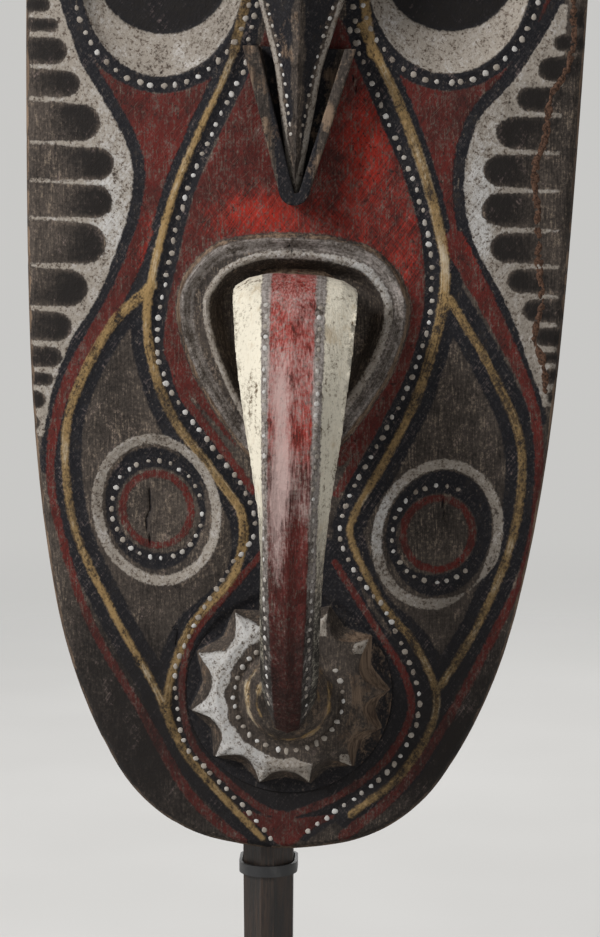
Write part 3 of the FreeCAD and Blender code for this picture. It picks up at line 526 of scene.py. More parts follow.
def dress(obj, material, body, slot=None, *replaced):
    """Gives a piece its material and its body, and hides the construction nodes that it stands for. The slot is
    not used.
    """
    obj.data.materials.clear()
    obj.data.materials.append(material)
    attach(obj, body)
    if replaced:
        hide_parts(*replaced)
    return obj


def outline_half_width():
    """The board's half width by height, read off the back edge of the construction's side wall."""
    co = to_board(points_of(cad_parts["face_board"].data))
    wall = co[(np.abs(co[:, 1] + BACK_BEVEL) < 0.02) & (co[:, 0] > -0.01)]
    order = np.unique(np.round(wall[:, 2], 2), return_index=True)[1]
    levels, widths = wall[order, 2], wall[order, 0]
    turn = np.linspace(-math.pi / 2, math.pi / 2, 300)
    fine = np.interp(turn, np.arctan2(levels - HEIGHT / 2, widths), np.arange(len(levels)))
    ring = np.stack([np.interp(fine, np.arange(len(levels)), values) for values in (levels, widths)], 1)
    return ring[:, 0], np.maximum(ring[:, 1], 0.0)


def carve_copy(node, name, voxel, rounds=4):
    """A close-meshed copy of a construction node, its edges softened as a knife and years of handling do."""
    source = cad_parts[node]
    obj = source.copy()
    obj.data = source.data.copy()
    obj.name = obj.data.name = name
    for key in list(obj.keys()):
        del obj[key]
    obj.parent = None
    bpy.context.scene.collection.objects.link(obj)
    fresh_selection(obj)
    bpy.ops.object.mode_set(mode="EDIT")
    bpy.ops.mesh.select_all(action="SELECT")
    bpy.ops.mesh.remove_doubles(threshold=0.00001)
    bpy.ops.object.mode_set(mode="OBJECT")
    obj.data.remesh_voxel_size = voxel * 0.001
    bpy.ops.object.voxel_remesh()
    soften = obj.modifiers.new("soften", "SMOOTH")
    soften.iterations = rounds
    soften.factor = 0.5
    bpy.ops.object.modifier_apply(modifier="soften")
    bpy.ops.object.shade_smooth()
    return obj


# ---------------------------------------------------------------- materials
class Field:
    """A number that changes over a surface. Sums and products of fields add Math nodes."""

    def __init__(self, finish, socket):
        self.finish, self.socket = finish, socket

    def joined(self, operation, first, second):
        return self.finish.node("ShaderNodeMath", {"operation": operation}, first, second)

    def __add__(self, other):
        return self.joined("ADD", self, other)

    def __sub__(self, other):
        return self.joined("SUBTRACT", self, other)

    def __rsub__(self, other):
        return self.joined("SUBTRACT", other, self)

    def __mul__(self, other):
        return self.joined("MULTIPLY", self, other)

    def __truediv__(self, other):
        return self.joined("DIVIDE", self, other)

    __radd__, __rmul__ = __add__, __mul__

    def least(self, other):
        return self.joined("MINIMUM", self, other)

    def most(self, other):
        return self.joined("MAXIMUM", self, other)

    def between(self, low, high):
        """0 at low and 1 at high, smoothly; low may be above high."""
        return self.finish.node("ShaderNodeMapRange", {"interpolation_type": "SMOOTHSTEP"}, self, low, high)


class Finish:
    """A material, or the room's world, under construction."""

    def __init__(self, name, world=None):
        self.material = world or bpy.data.materials.new(name)
        self.material.use_nodes = True
        self.tree = self.material.node_tree
        if world is None:
            self.shader = self.tree.nodes["Principled BSDF"]
            self.place = self.node("ShaderNodeTexCoord", {}, output="Object")

    def node(self, kind, settings, *values, output=0, **named):
        """Adds a node with its settings and its sockets' values or links, and gives one of its outputs."""
        made = self.tree.nodes.new(kind)
        for key, value in settings.items():
            setattr(made, key, value)
        for key, value in list(enumerate(values)) + list(named.items()):
            socket = made.inputs[key if isinstance(key, int) else key.replace("_", " ")]
            self.put(socket, value)
        return Field(self, made.outputs[output])

    def put(self, socket, value):
        if isinstance(value, Field):
            self.tree.links.new(value.socket, socket)
        elif value is not None:
            socket.default_value = value

    def stored(self, name):
        """A field kept on the mesh's points."""
        return self.node("ShaderNodeAttribute", {"attribute_name": name}, output="Fac")

    def stretched(self, x, y, z):
        """Object coordinates in millimetres, each axis divided by a length."""
        return self.node("ShaderNodeVectorMath", {"operation": "MULTIPLY"}, self.place,
                         (1e3 / x, 1e3 / y, 1e3 / z))

    def grain(self, size, detail=3.0, roughness=0.6, stretch=(1, 1, 1)):
        """Noise with features about size millimetres across, longer along an axis by its stretch."""
        where = self.stretched(*(size * s for s in stretch))
        return self.node("ShaderNodeTexNoise", {}, Vector=where, Scale=1.0, Detail=detail,
                         Roughness=roughness)

    def turned(self, angle, across, along, detail=3.0):
        """Streaks that lean by an angle from upright in the board's plane."""
        parts = self.node("ShaderNodeSeparateXYZ", {}, self.place)
        y, z = (Field(self, parts.socket.node.outputs[axis]) for axis in "YZ")
        c, s = math.cos(angle), math.sin(angle)
        where = self.node("ShaderNodeCombineXYZ", {}, parts * (c * 1e3 / across) - z * (s * 1e3 / across),
                          y * (5e2 / across), z * (c * 1e3 / along) + parts * (s * 1e3 / along))
        return self.node("ShaderNodeTexNoise", {}, Vector=where, Scale=1.0, Detail=detail, Roughness=0.6)

    def along_flow(self, across, along):
        """Brush strokes that follow the painted lines, with their sizes across and along in millimetres."""
        parts = self.node("ShaderNodeSeparateXYZ", {}, self.place)
        z = Field(self, parts.socket.node.outputs["Z"])
        where = self.node("ShaderNodeCombineXYZ", {}, self.stored("flow") / across,
                          parts * (1e3 / along / 1.6), z * (1e3 / along))
        return self.node("ShaderNodeTexNoise", {}, Vector=where, Scale=1.0, Detail=4.0, Roughness=0.62)

    def mix(self, first, second, share):
        """One colour laid over another."""
        made = self.tree.nodes.new("ShaderNodeMix")
        made.data_type = "RGBA"
        for socket, value in ((made.inputs[0], share), (made.inputs[6], first), (made.inputs[7], second)):
            self.put(socket, value if isinstance(value, (Field, float)) else (*value, 1.0))
        return Field(self, made.outputs[2])

    def finish_with(self, colour, roughness, height=None, depth=0.3, metallic=0.0, specular=0.5):
        """Sets the shader; depth is the bump's height in millimetres."""
        self.put(self.shader.inputs["Base Color"], (*colour, 1.0) if isinstance(colour, tuple) else colour)
        self.put(self.shader.inputs["Roughness"], roughness)
        self.shader.inputs["Metallic"].default_value = metallic
        self.shader.inputs["Specular IOR Level"].default_value = specular
        if height is not None:
            bump = self.node("ShaderNodeBump", {}, Strength=1.0, Distance=depth * 0.001, Height=height)
            self.put(self.shader.inputs["Normal"], bump)
        return self.material


# from the first laid to the last: how soft its edge is, how much of it is rubbed away, and how far it fades
PAINTS = (("grey", 1.2, 0.41, 0.7), ("red", 0.6, 0.38, 0.0), ("yellow", 0.8, 0.43, 0.8),
          ("cream", 0.6, 0.34, 0.9), ("white", 0.5, 0.40, 0.3))


def paint_finish(name, leans=(0.62, -0.75)):
    """Old earth paints over dark wood: every paint's edge is ragged and each is rubbed through in places. The
    brush marks lean from upright by two angles. Painted shade darkens the colour towards the bottom, and stored
    fields add painted highlights, a painted sheen and painted shade."""
    f = Finish(name)
    c = bpy.context.scene.mask_colours
    broad = f.grain(46.0, 4.0, 0.6)
    fine = f.grain(0.7, 2.0, 0.6)
    speck = f.grain(1.7, 4.0, 0.78)
    pits = f.grain(2.1, 2.0, 0.6)
    wear = f.grain(9.0, 5.0, 0.68, (1.0, 1.0, 1.5))
    upright = f.grain(0.9, 4.0, 0.62, (1.0, 1.0, 9.0))
    strokes = f.along_flow(0.55, 20.0)
    rising, falling = f.turned(leans[0], 0.8, 16.0, 4.0), f.turned(leans[1], 1.0, 9.0, 4.0)
    brushed = rising * 0.6 + falling * 0.4
    scratches = f.turned(leans[0] * 1.3, 0.4, 24.0, 1.0).between(0.66, 0.74).most(
        f.turned(leans[1] * 0.4, 0.35, 18.0, 1.0).between(0.67, 0.74))
    streaks = f.along_flow(1.1, 34.0)
    planed = f.grain(2.6, 4.0, 0.6, (1.0, 1.0, 16.0))
    edge = (f.grain(2.2, 4.0, 0.65) - 0.5) * 2.8 + (wear - 0.5) * 2.6
    # Where the stored field is high, paints are brighter: fresher paint on the board, and a painted highlight
    # on the nose's upper part and on the rosette's left side.
    freshness_and_light, smoke_and_shade, thin = f.stored("fresh_and_lit"), f.stored("smoke_and_shade"), f.stored("thin")

    def cover(field, soft, worn):
        """Where a paint lies: inside its uneven edge and not rubbed away."""
        inside_edge = (f.stored(field) + edge).between(soft, -soft)
        return inside_edge * (wear * 0.40 + speck * 0.35 + brushed * 0.25).between(worn - 0.06, worn + 0.06)

    scrubbed = broad * 0.25 + upright * 0.25 + speck * 0.35 + wear * 0.15 - smoke_and_shade * 0.16
    ground = f.mix(c.ground_dark, c.ground_light, scrubbed.between(0.36, 0.62))
    dusty = (speck * 0.4 + wear * 0.25 + upright * 0.35 - smoke_and_shade * 0.12).between(0.51, 0.63)
    ground = f.mix(ground, c.tan, dusty * 0.85)
    black = f.mix(c.black, c.black_worn, (brushed * 0.4 + speck * 0.6 - smoke_and_shade * 0.05).between(0.45, 0.66))
    black = f.mix(black, c.tan, (speck * 0.6 + upright * 0.4 - smoke_and_shade * 0.1).between(0.56, 0.68) * 0.6)
    red = f.mix(c.red_dark, c.red, (wear * 0.35 + brushed * 0.35 + broad * 0.30).between(0.38, 0.60))
    fresh = (brushed * 0.40 + wear * 0.2 + broad * 0.1 + freshness_and_light * 0.3).between(0.46, 0.70)
    red = f.mix(red, c.red_bright, fresh * 0.9)
    red = f.mix(red, c.ground_light, (speck * 0.4 + upright * 0.35 + wear * 0.25).between(0.48, 0.59) * 0.75)
    red = f.mix(red, c.ground_dark, pits.between(0.40, 0.28) * 0.7)
    red = f.mix(red, c.tan, (upright * 0.6 + speck * 0.4).between(0.58, 0.68) * 0.5)
    red = f.mix(red, c.tan, scratches * 0.22)
    laid = (speck * 0.3 + streaks * 0.35 + wear * 0.35 + freshness_and_light * 0.1).between(0.40, 0.54)
    yellow = f.mix(c.yellow_dark, c.yellow, laid)
    pale = (broad * 0.3 + wear * 0.3 + streaks * 0.4 + freshness_and_light * 0.08).between(0.53, 0.66)
    yellow = f.mix(yellow, c.cream, pale * 0.5)
    white = f.mix(c.white_dark, c.white, (pits * 0.25 + speck * 0.45 + wear * 0.30).between(0.36, 0.50))
    thick = (brushed * 0.25 + wear * 0.35 + speck * 0.3 + freshness_and_light * 0.10).between(0.44, 0.62)
    white = f.mix(white, c.white_bright, thick)
    white = f.mix(white, c.white_dark, (pits * 0.35 + speck * 0.65).between(0.48, 0.38) * 0.85)
    cream = f.mix(c.yellow_dark, c.cream, (speck * 0.4 + planed * 0.25 + wear * 0.35).between(0.37, 0.50))
    cream = f.mix(cream, c.yellow, (wear * 0.4 + broad * 0.3 + planed * 0.3).between(0.52, 0.64) * 0.5)
    cream = f.mix(cream, c.grey, (broad * 0.5 + planed * 0.5).between(0.40, 0.30) * 0.5)
    grey = f.mix(c.ground_light, c.grey, (speck * 0.4 + strokes * 0.25 + wear * 0.35).between(0.40, 0.60))

    colour = f.mix(ground, black, cover("black", 0.7, 0.41))
    tints = {"grey": grey, "red": red, "yellow": yellow, "cream": cream, "white": white}
    paint = 0.0
    for field, soft, worn, faded in PAINTS:
        share = cover(field, soft, worn)
        if faded:
            share = share * (1.0 - thin * (speck * 0.5 + wear * 0.5).between(0.68, 0.44) * faded)
        colour = f.mix(colour, tints[field], share)
        paint = share + paint
    # Rubbed pale in places; on the nose the stored field also paints a sheen of light along the ridge.
    rub_and_sheen = f.stored("rub_and_sheen") + (wear - 0.5) * 1.0 + (brushed - 0.5) * 1.6 + (speck - 0.5) * 0.6
    colour = f.mix(colour, c.rubbed, rub_and_sheen.between(0.10, 0.90) * 0.8)
    bare = (f.stored("bare") + (wear - 0.5) * 1.1 + (speck - 0.5) * 0.5).between(0.45, 0.66)
    wood = f.mix(c.raw_dark, c.raw_wood, (planed * 0.55 + upright * 0.25 + broad * 0.2).between(0.40, 0.60))
    colour = f.mix(colour, wood, bare)
    crack = f.stored("crack").between(0.35, -0.35)
    colour = f.mix(colour, c.black, crack * (speck * 0.5 + wear * 0.5).between(0.36, 0.50))
    # Painted shade: the colour darkens towards the bottom, below 0.40 m, where the light falls off; dirt in the
    # pits darkens it too.
    low = f.node("ShaderNodeSeparateXYZ", {}, f.place, output="Z")
    darkening = low.between(0.40, 0.16) * 0.35 + pits.between(0.36, 0.24) * 0.5
    colour = f.mix(colour, c.ground_dark, darkening * (1.0 - (paint * 0.45).least(0.8)))
    # Darkens the colour by the stored field: sooty lobes and pupils, and painted shade near the foot and on the
    # nose's lower end.
    colour = f.mix(colour, c.ground_dark, smoke_and_shade * (wear * 0.5 + speck * 0.5).between(0.74, 0.40) * 0.85)
    height = brushed * 0.25 + upright * 0.2 + fine * 0.1 + speck * 0.45
    height = height + wear * 0.55 + paint * 0.18 + crack * -0.9
    roughness = 0.70 + (speck - 0.5) * 0.3 + paint * 0.06
    return f.finish_with(colour, roughness, height, depth=0.85, specular=0.14)


def wood_finish(name, dark, light, long_grain=18.0):
    """Bare wood, its grain along Z."""
    f = Finish(name)
    grain = f.grain(1.4, 5.0, 0.65, (1.0, 1.0, long_grain))
    broad = f.grain(9.0, 3.0, 0.6, (1.0, 1.0, 5.0))
    pores = f.grain(0.5, 2.0, 0.5, (1.0, 1.0, 12.0))
    colour = f.mix(dark, light, (grain * 0.65 + broad * 0.35).between(0.38, 0.64))
    colour = f.mix(colour, tuple(v * 0.35 for v in dark), pores.between(0.60, 0.70) * 0.8)
    height = grain * 0.6 + pores * -0.3 + f.grain(6.0, 3.0) * 0.5
    return f.finish_with(colour, 0.5 + (grain - 0.5) * 0.3, height, depth=0.5, specular=0.4)


def steel_finish():
    """Black powder coat with a little dust."""
    f = Finish("black_steel")
    coat = f.grain(0.35, 2.0, 0.5)
    dust = f.grain(14.0, 5.0, 0.7)
    colour = f.mix((0.010, 0.010, 0.011), (0.035, 0.034, 0.033), dust.between(0.45, 0.75))
    return f.finish_with(colour, 0.38 + (coat - 0.5) * 0.2 + dust * 0.12, coat, depth=0.06)


def felt_finish():
    """Dark felt under the base plate."""
    f = Finish("felt")
    fibre = f.grain(0.6, 4.0, 0.8)
    colour = f.mix((0.012, 0.012, 0.013), (0.04, 0.04, 0.042), fibre.between(0.35, 0.7))
    return f.finish_with(colour, 0.95, fibre, depth=0.4, specular=0.15)


# ---------------------------------------------------------------- what a user may change
def colour_property(name, description, value):
    return bpy.props.FloatVectorProperty(name=name, description=description, subtype="COLOR", size=3, min=0.0,
                                         max=1.0, default=value)


class MaskColours(bpy.types.PropertyGroup):
    ground_dark: colour_property("Ground, dark", "Smoked ground between the bands", (0.010, 0.008, 0.007))
    ground_light: colour_property("Ground, light", "Rubbed ground between the bands", (0.082, 0.065, 0.053))
    tan: colour_property("Tan", "Brown dust and wear on the ground", (0.190, 0.148, 0.108))
    raw_wood: colour_property("Raw wood", "Bare wood at worn places", (0.190, 0.132, 0.090))
    raw_dark: colour_property("Raw wood, dark", "Bare wood in its hollows", (0.050, 0.032, 0.022))
    black: colour_property("Black", "Sooty black bands", (0.005, 0.005, 0.007))
    black_worn: colour_property("Black, worn", "Rubbed black bands", (0.030, 0.028, 0.029))
    red_dark: colour_property("Red, dark", "Red ochre in its hollows", (0.040, 0.011, 0.009))
    red: colour_property("Red", "Red ochre", (0.098, 0.012, 0.009))
    red_bright: colour_property("Red, bright", "Bright strokes of red ochre", (0.380, 0.022, 0.011))
    yellow_dark: colour_property("Yellow, dark", "Yellow ochre, rubbed", (0.085, 0.055, 0.028))
    yellow: colour_property("Yellow", "Yellow ochre", (0.275, 0.178, 0.074))
    cream: colour_property("Cream", "Cream beside the nose and on the pale bands", (0.640, 0.590, 0.480))
    # also the colour of the painted sheen along the nose's ridge
    rubbed: colour_property("Rubbed red", "Red rubbed pale along the nose", (0.400, 0.292, 0.268))
    white_dark: colour_property("White, rubbed", "Chalk white, rubbed", (0.085, 0.062, 0.047))
    white: colour_property("White", "Chalk white", (0.260, 0.228, 0.192))
    white_bright: colour_property("White, fresh", "Chalk white where it is thick", (0.450, 0.440, 0.425))
    grey: colour_property("Grey", "Grey wash on the collar", (0.305, 0.275, 0.255))


class MaskSizes(bpy.types.PropertyGroup):
    dot_pitch: bpy.props.FloatProperty(name="Dot spacing", description="Between neighbouring painted dots",
                                       default=0.0060, min=0.004, max=0.02, subtype="DISTANCE", unit="LENGTH")
    dot_radius: bpy.props.FloatProperty(name="Dot radius", description="Of a painted dot", default=0.00155,
                                        min=0.0005, max=0.004, subtype="DISTANCE", unit="LENGTH")
    camera_distance: bpy.props.FloatProperty(
        name="Camera distance", description="From the mask's front", default=1.60, min=0.5, max=5.0,
        subtype="DISTANCE", unit="LENGTH")
    camera_height: bpy.props.FloatProperty(name="Camera elevation", description="Above the horizon",
                                           default=math.radians(7.0), subtype="ANGLE", unit="ROTATION")
    lamp_power: bpy.props.FloatProperty(name="Lamp power", description="Of the key lamp, in watts",
                                        default=42.0, min=0.0)


# ---------------------------------------------------------------- pieces
class MASK_OT_board(bpy.types.Operator):
    """Carves and paints the face board"""

    bl_idname = "mask.board"
    bl_label = "Face board"

    def execute(self, context):
        levels, widths = outline_half_width()
        fine = 1.0
        rows = np.concatenate((np.linspace(0.16, 1, int(26 / fine)) ** 2 * 30,
                               np.arange(30, FINE_TOP, FINE_STEP * fine)[1:],
                               np.arange(FINE_TOP, HEIGHT - 40, COARSE_STEP * fine),
                               HEIGHT - np.linspace(1, 0.16, int(24 / fine)) ** 2 * 40))
        columns = int(206 / fine)
        u = np.linspace(-1, 1, columns)
        u = np.sin(u * math.pi / 2) * 0.2 + u * 0.8
        obj = new_grid("painted_board", columns, len(rows))
        half = np.interp(rows, levels, widths)
        x = (half[:, None] * u[None, :]).ravel()
        z = np.repeat(rows, columns)
        xz = np.stack((x, z), 1)
        edge = smooth_outline(levels, widths)
        inward = -inside(xz, edge)
        relief = board_relief(xz)
        bevel = RIM_BEVEL * (1 - np.clip(inward / RIM_BEVEL, 0, 1)) ** 1.6
        flat = np.stack((x, z, x * 0), 1)
        uneven = rough(flat, 42.0) * 0.55 + rough(flat, 12.0, 4.0) * 0.35
        uneven = uneven + rough(flat * (1, 1, 0.35), 5.0, 2.0) * 0.16
        notches = np.maximum(rough(flat, 9.0, 8.0) - 0.25, 0) * 3.0 * step(5, 0, inward)
        y = crown_y(x, z) - relief - uneven * step(0, 10, inward) + bevel + notches + 0.25
        move_points(obj.data, to_row(np.stack((x, y, z), 1)))
        back_of(obj)
        co = to_board(points_of(obj.data))
        flat = co[:, [0, 2]]
        fields = board_paint(flat)
        inward = -inside(flat, edge)
        rim = step(3.2, 0.6, inward) * 0.7 + 0.4 * rough(co, 9.0, 2.0) * (inward < 6)
        fields["bare"] = np.where(co[:, 1] > -9.0, 1.0, np.maximum(fields["bare"], rim))
        keep_fields(obj, fields)
        dress(obj, paint_finish("painted_board"), "mask", "painted_wood", "face_board")
        return {"FINISHED"}


def smooth_outline(levels, widths):
    """The outline as a closed ring, for distances to the rim."""
    right = np.stack((widths, levels), 1)
    ring = np.vstack((right, right[::-1] * (-1, 1)))
    return np.vstack((ring, ring[:1]))


def back_of(obj):
    """Gives the front sheet its rim and flat back."""
    fresh_selection(obj)
    bpy.ops.object.mode_set(mode="EDIT")
    bpy.ops.mesh.select_all(action="SELECT")
    bpy.ops.mesh.region_to_loop()
    for depth, inset in ((-BACK_BEVEL, 0.0), (0.0, BACK_BEVEL)):
        bpy.ops.mesh.extrude_edges_move()
        bm = bmesh.from_edit_mesh(obj.data)
        for vert in bm.verts:
            if vert.select:
                x, _, z = to_board(vert.co)
                pull = np.array((x, (z - HEIGHT / 2) * 0.3))
                pull = pull / max(np.linalg.norm(pull), 1e-6) * inset
                vert.co = Vector(to_row((x - pull[0], depth, z - pull[1])))
        bmesh.update_edit_mesh(obj.data)
    bpy.ops.mesh.edge_face_add()
    bpy.ops.mesh.select_all(action="SELECT")
    bpy.ops.mesh.normals_make_consistent(inside=False)
    bpy.ops.object.mode_set(mode="OBJECT")
    bpy.ops.object.shade_smooth_by_angle(angle=math.radians(50))


class MASK_OT_nose(bpy.types.Operator):
    """Rounds and paints the hooked nose"""

    bl_idname = "mask.nose"
    bl_label = "Hooked nose"

    def execute(self, context):
        obj = carve_copy("hook_nose", "painted_nose", 0.95, 7)
        co = to_board(points_of(obj.data))
        z = co[:, 2]
        aside = co[:, 0] - np.interp(z, (NOSE_TIP[1], NOSE_ROOT[1]), (NOSE_TIP[0], NOSE_ROOT[0]))
        across = np.abs(aside)
        stripe_half = cone_edge(z)
        band_half = stripe_half + np.interp(z, (60, 100, 240), (3.4, 4.4, 5.0))
        worn = rough(co * (1, 1, 0.3), 12.0, 5.0)
        # A pale streak down the left of the red stripe, partly rubbed paint and partly a painted sheen of light
        # along the ridge.
        pale = np.exp(-((aside + 4.8) / 3.9) ** 2 - ((z - 212) / 54) ** 4)
        low = step(175, 112, z)
        middle, half = (stripe_half + band_half) / 2, (band_half - stripe_half) / 2
        on_stripe = (across < stripe_half + 1) * step(150, 200, z)
        keep_fields(obj, {
            "red": across - stripe_half,
            "cream": band_half - across,
            "grey": np.abs(across - middle) - half - 0.3,
            "rub_and_sheen": (0.66 * pale + 0.36 * on_stripe) * (1 + 0.6 * worn),
            "flow": aside * 1.3,
            # painted highlight: the nose's upper part, which faces up to the light, has brighter paints
            "fresh_and_lit": 0.75 * step(180, 240, z),
            "thin": np.maximum(step(215, 152, z), 0.15 * (aside > 0)),
            # painted shade: the nose's lower part, which curves back and faces down, is darkened
            "smoke_and_shade": low * 0.95,
            "bare": np.where(co[:, 1] > -34, 0.75, 0.0) + 0.3 * low * (across > band_half),
        })
        normals = np.zeros(len(co) * 3)
        obj.data.vertices.foreach_get("normal", normals)
        uneven = rough(co, 17.0, 3.0) * 0.35 + rough(co * (1, 1, 0.4), 6.0, 6.0) * 0.12
        ridge = 0.35 * bump(aside, 1.3)
        swell = (uneven + ridge - 0.3)[:, None] * 0.001
        moved = points_of(obj.data) + normals.reshape(-1, 3) * swell
        moved[:, 2] += 0.001 * step(272, 302, z) * np.interp(across, *TOP_ARCH)
        left, right = np.interp(z, FLANK_LEVELS, DRAWN_LEFT), np.interp(z, FLANK_LEVELS, LET_RIGHT)
        flank = step(stripe_half + 1, stripe_half + 11, across)
        moved[:, 0] += 0.001 * flank * np.where(aside < 0, left, right)
        move_points(obj.data, moved)
        dress(obj, paint_finish("painted_nose", (0.05, -0.10)), "mask", "painted_wood", "hook_nose")
        return {"FINISHED"}


def rosette_height(radius, angle):
    """Height of the rosette's carved face, how far inside its top a place is, and how far down its flank."""
    tips = np.array(TOOTH_ANGLES, float)
    tips = np.concatenate((tips - 360, tips, tips + 360))
    tips.sort()
    next_tip = np.searchsorted(tips, angle).clip(1, len(tips) - 1)
    low, high = tips[next_tip - 1], tips[next_tip]
    t = (angle - low) / (high - low)
    from_tip = np.abs(t - np.round(t)) * 2
    length = TOOTH_REACH + 1.6 * np.sin(tips[next_tip - 1 + np.round(t).astype(int)] * 0.37)
    top = TOOTH_ROOT + (length - TOOTH_ROOT) * (1 - from_tip) ** 2.3
    foot = FOOT_ROOT + (length + 2.5 - FOOT_ROOT) * (1 - from_tip) ** 1.2
    fall = np.clip((radius - top) / np.maximum(foot - top, 1.5), 0, 1)
    height = FACE_RISE - 0.48 * np.maximum(np.minimum(radius, top) - 38.5, 0)
    aside = from_tip * np.radians(high - low) / 2 * radius
    height = height + (1.5 * bump(aside, 1.8) - 1.0) * step(39, 45, radius)
    height = height * (1 - fall) ** 1.5
    return height, top - radius, fall


class MASK_OT_rosette(bpy.types.Operator):
    """Carves and paints the toothed mouth rosette"""

    bl_idname = "mask.rosette"
    bl_label = "Mouth rosette"

    def execute(self, context):
        rings, spokes = ((150, 600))
        obj = new_grid("painted_rosette", spokes + 1, rings)
        radius = np.repeat(np.linspace(5.0, 55.5, rings), spokes + 1)
        angle = np.tile(np.linspace(0, 360, spokes + 1), rings)
        height = rosette_height(radius, angle)[0]
        hub = HUB_RISE * step(25.5, 17.0, radius) - 0.8 * bump(radius - 27.0, 1.6)
        turn = np.radians(angle)
        x, z = ROSETTE[0] + radius * np.cos(turn), ROSETTE[1] + radius * np.sin(turn)
        flat = np.stack((x, radius * 0, z), 1)
        uneven = rough(flat, 14.0, 9.0) * 0.5 + rough(flat, 5.0, 2.0) * 0.22
        seat = crown_y(np.array([ROSETTE[0]]), np.array([ROSETTE[1]]))[0] + 1.6
        flat[:, 1] = seat - height - hub - uneven * step(0, 4, height)
        move_points(obj.data, to_row(flat))
        fresh_selection(obj)
        bpy.ops.object.mode_set(mode="EDIT")
        bpy.ops.mesh.select_all(action="SELECT")
        bpy.ops.mesh.remove_doubles(threshold=0.00003)
        bpy.ops.mesh.normals_make_consistent(inside=False)
        bpy.ops.object.mode_set(mode="OBJECT")
        bpy.ops.object.shade_smooth_by_angle(angle=math.radians(38))
        co = to_board(points_of(obj.data))
        dx, dz = co[:, 0] - ROSETTE[0], co[:, 2] - ROSETTE[1]
        radius, angle = np.hypot(dx, dz), np.degrees(np.arctan2(dz, dx)) % 360
        _, within, fall = rosette_height(radius, angle)
        right = np.abs((angle + 4 + 180) % 360 - 180)
        rubbed = 9.0 * step(82, 50, right) + 2.0 * rough(co, 9.0, 4.0)
        # Painted highlight: white is kept on the tips of the teeth at 37 and 313 degrees as glints, though the
        # right side is rubbed.
        for tooth in (37, 313):
            rubbed = rubbed - 9.0 * bump(angle - tooth, 9.0) * step(42, 46, radius)
        bands = np.minimum(np.abs(radius - 22.5) - 1.6, np.abs(radius - 16.5) - 1.2)
        flanks = (fall > 0.06) & (fall < 0.8)
        keep_fields(obj, {
            "white": np.maximum(34.0 - radius, -within - 1.2) + rubbed,
            "black": np.where(fall > 0.8, -(fall - 0.8) * 12, 20.0),
            "yellow": bands + 1.2 + rough(co, 8.0, 6.0) * 2.5,
            # painted highlight: the rosette's left side, towards the light, has brighter paints
            "fresh_and_lit": 1.1 * step(85, 115, right),
            "flow": radius,
            "bare": 0.52 * step(60, 30, right) * (radius > 34) + 0.45 * (radius < 24) + 0.42 * flanks,
        })
        dress(obj, paint_finish("painted_rosette"), "mask", "painted_wood", "mouth_rosette")
        return {"FINISHED"}


class MASK_OT_bills(bpy.types.Operator):
    """Rounds and paints the bird's bill and head"""

    bl_idname = "mask.bills"
    bl_label = "Bird's bill"

    def execute(self, context):
        for node, voxel in (("upper_bill", 1.0), ("lower_bill", 0.8)):
            obj = carve_copy(node, "painted_" + node, voxel, 3)
            co = to_board(points_of(obj.data))
            up, aside = co[:, 2] - BILL_TIP_Z, co[:, 0] - BILL_X
            half = bill_half(up)
            worn = rough(co, 10.0, 5.0)
            fields = {"flow": aside, "bare": np.where(up < 130, 0.36, 0.15) + worn * 0.3, "smoke_and_shade": 0.12}
            if node == "upper_bill":
                edge = np.abs(np.abs(aside) - half + 1.4) - 1.2 + worn * 0.8
                fields["white"] = np.where(up < 150, edge, 60.0)
                band = np.maximum(np.abs(aside) - half + 3.0, 2.2 - np.abs(aside))
                fields["black"] = band + 1.2 + worn * 3.0
            else:
                fields["black"] = np.where(np.abs(aside) < half + 5.0, -1.5, 3.0)
                fields["bare"] = np.where(np.abs(aside) > half + 6.0, 0.48, 0.34) + worn * 0.35
            keep_fields(obj, fields)
            dress(obj, paint_finish(obj.name), "mask", "painted_wood", node)
        return {"FINISHED"}


def bill_half(up):
    """Half width of the upper bill at a height above its tip."""
    return np.interp(up, (0, 22, 42, 68, 94, 112, 150, 300), (2.8, 5.6, 8.5, 12.4, 19.8, 25.5, 28, 28))


def evenly(line, pitch, seed):
    """Places along a line, about pitch apart, each a little off its place as a hand sets them."""
    fine_line = smooth(line)
    travelled = along(fine_line)
    rng = np.random.default_rng(seed)
    at = np.arange(pitch / 2, travelled[-1], pitch)
    at = at + rng.normal(0, pitch * 0.06, len(at))
    places = np.stack([np.interp(at, travelled, fine_line[:, i]) for i in (0, 1)], 1)
    return places + rng.normal(0, 0.25, places.shape)


def oval_line(centre, half, start, end, tilt=0.0, count=24):
    """Part of an oval, from one angle to another, in degrees."""
    angle = np.radians(np.linspace(start, end, count))
    u, v = half[0] * np.cos(angle), half[1] * np.sin(angle)
    a = math.radians(tilt)
    x, z = u * math.cos(a) + v * math.sin(a), v * math.cos(a) - u * math.sin(a)
    return np.stack((centre[0] + x, centre[1] + z), 1)


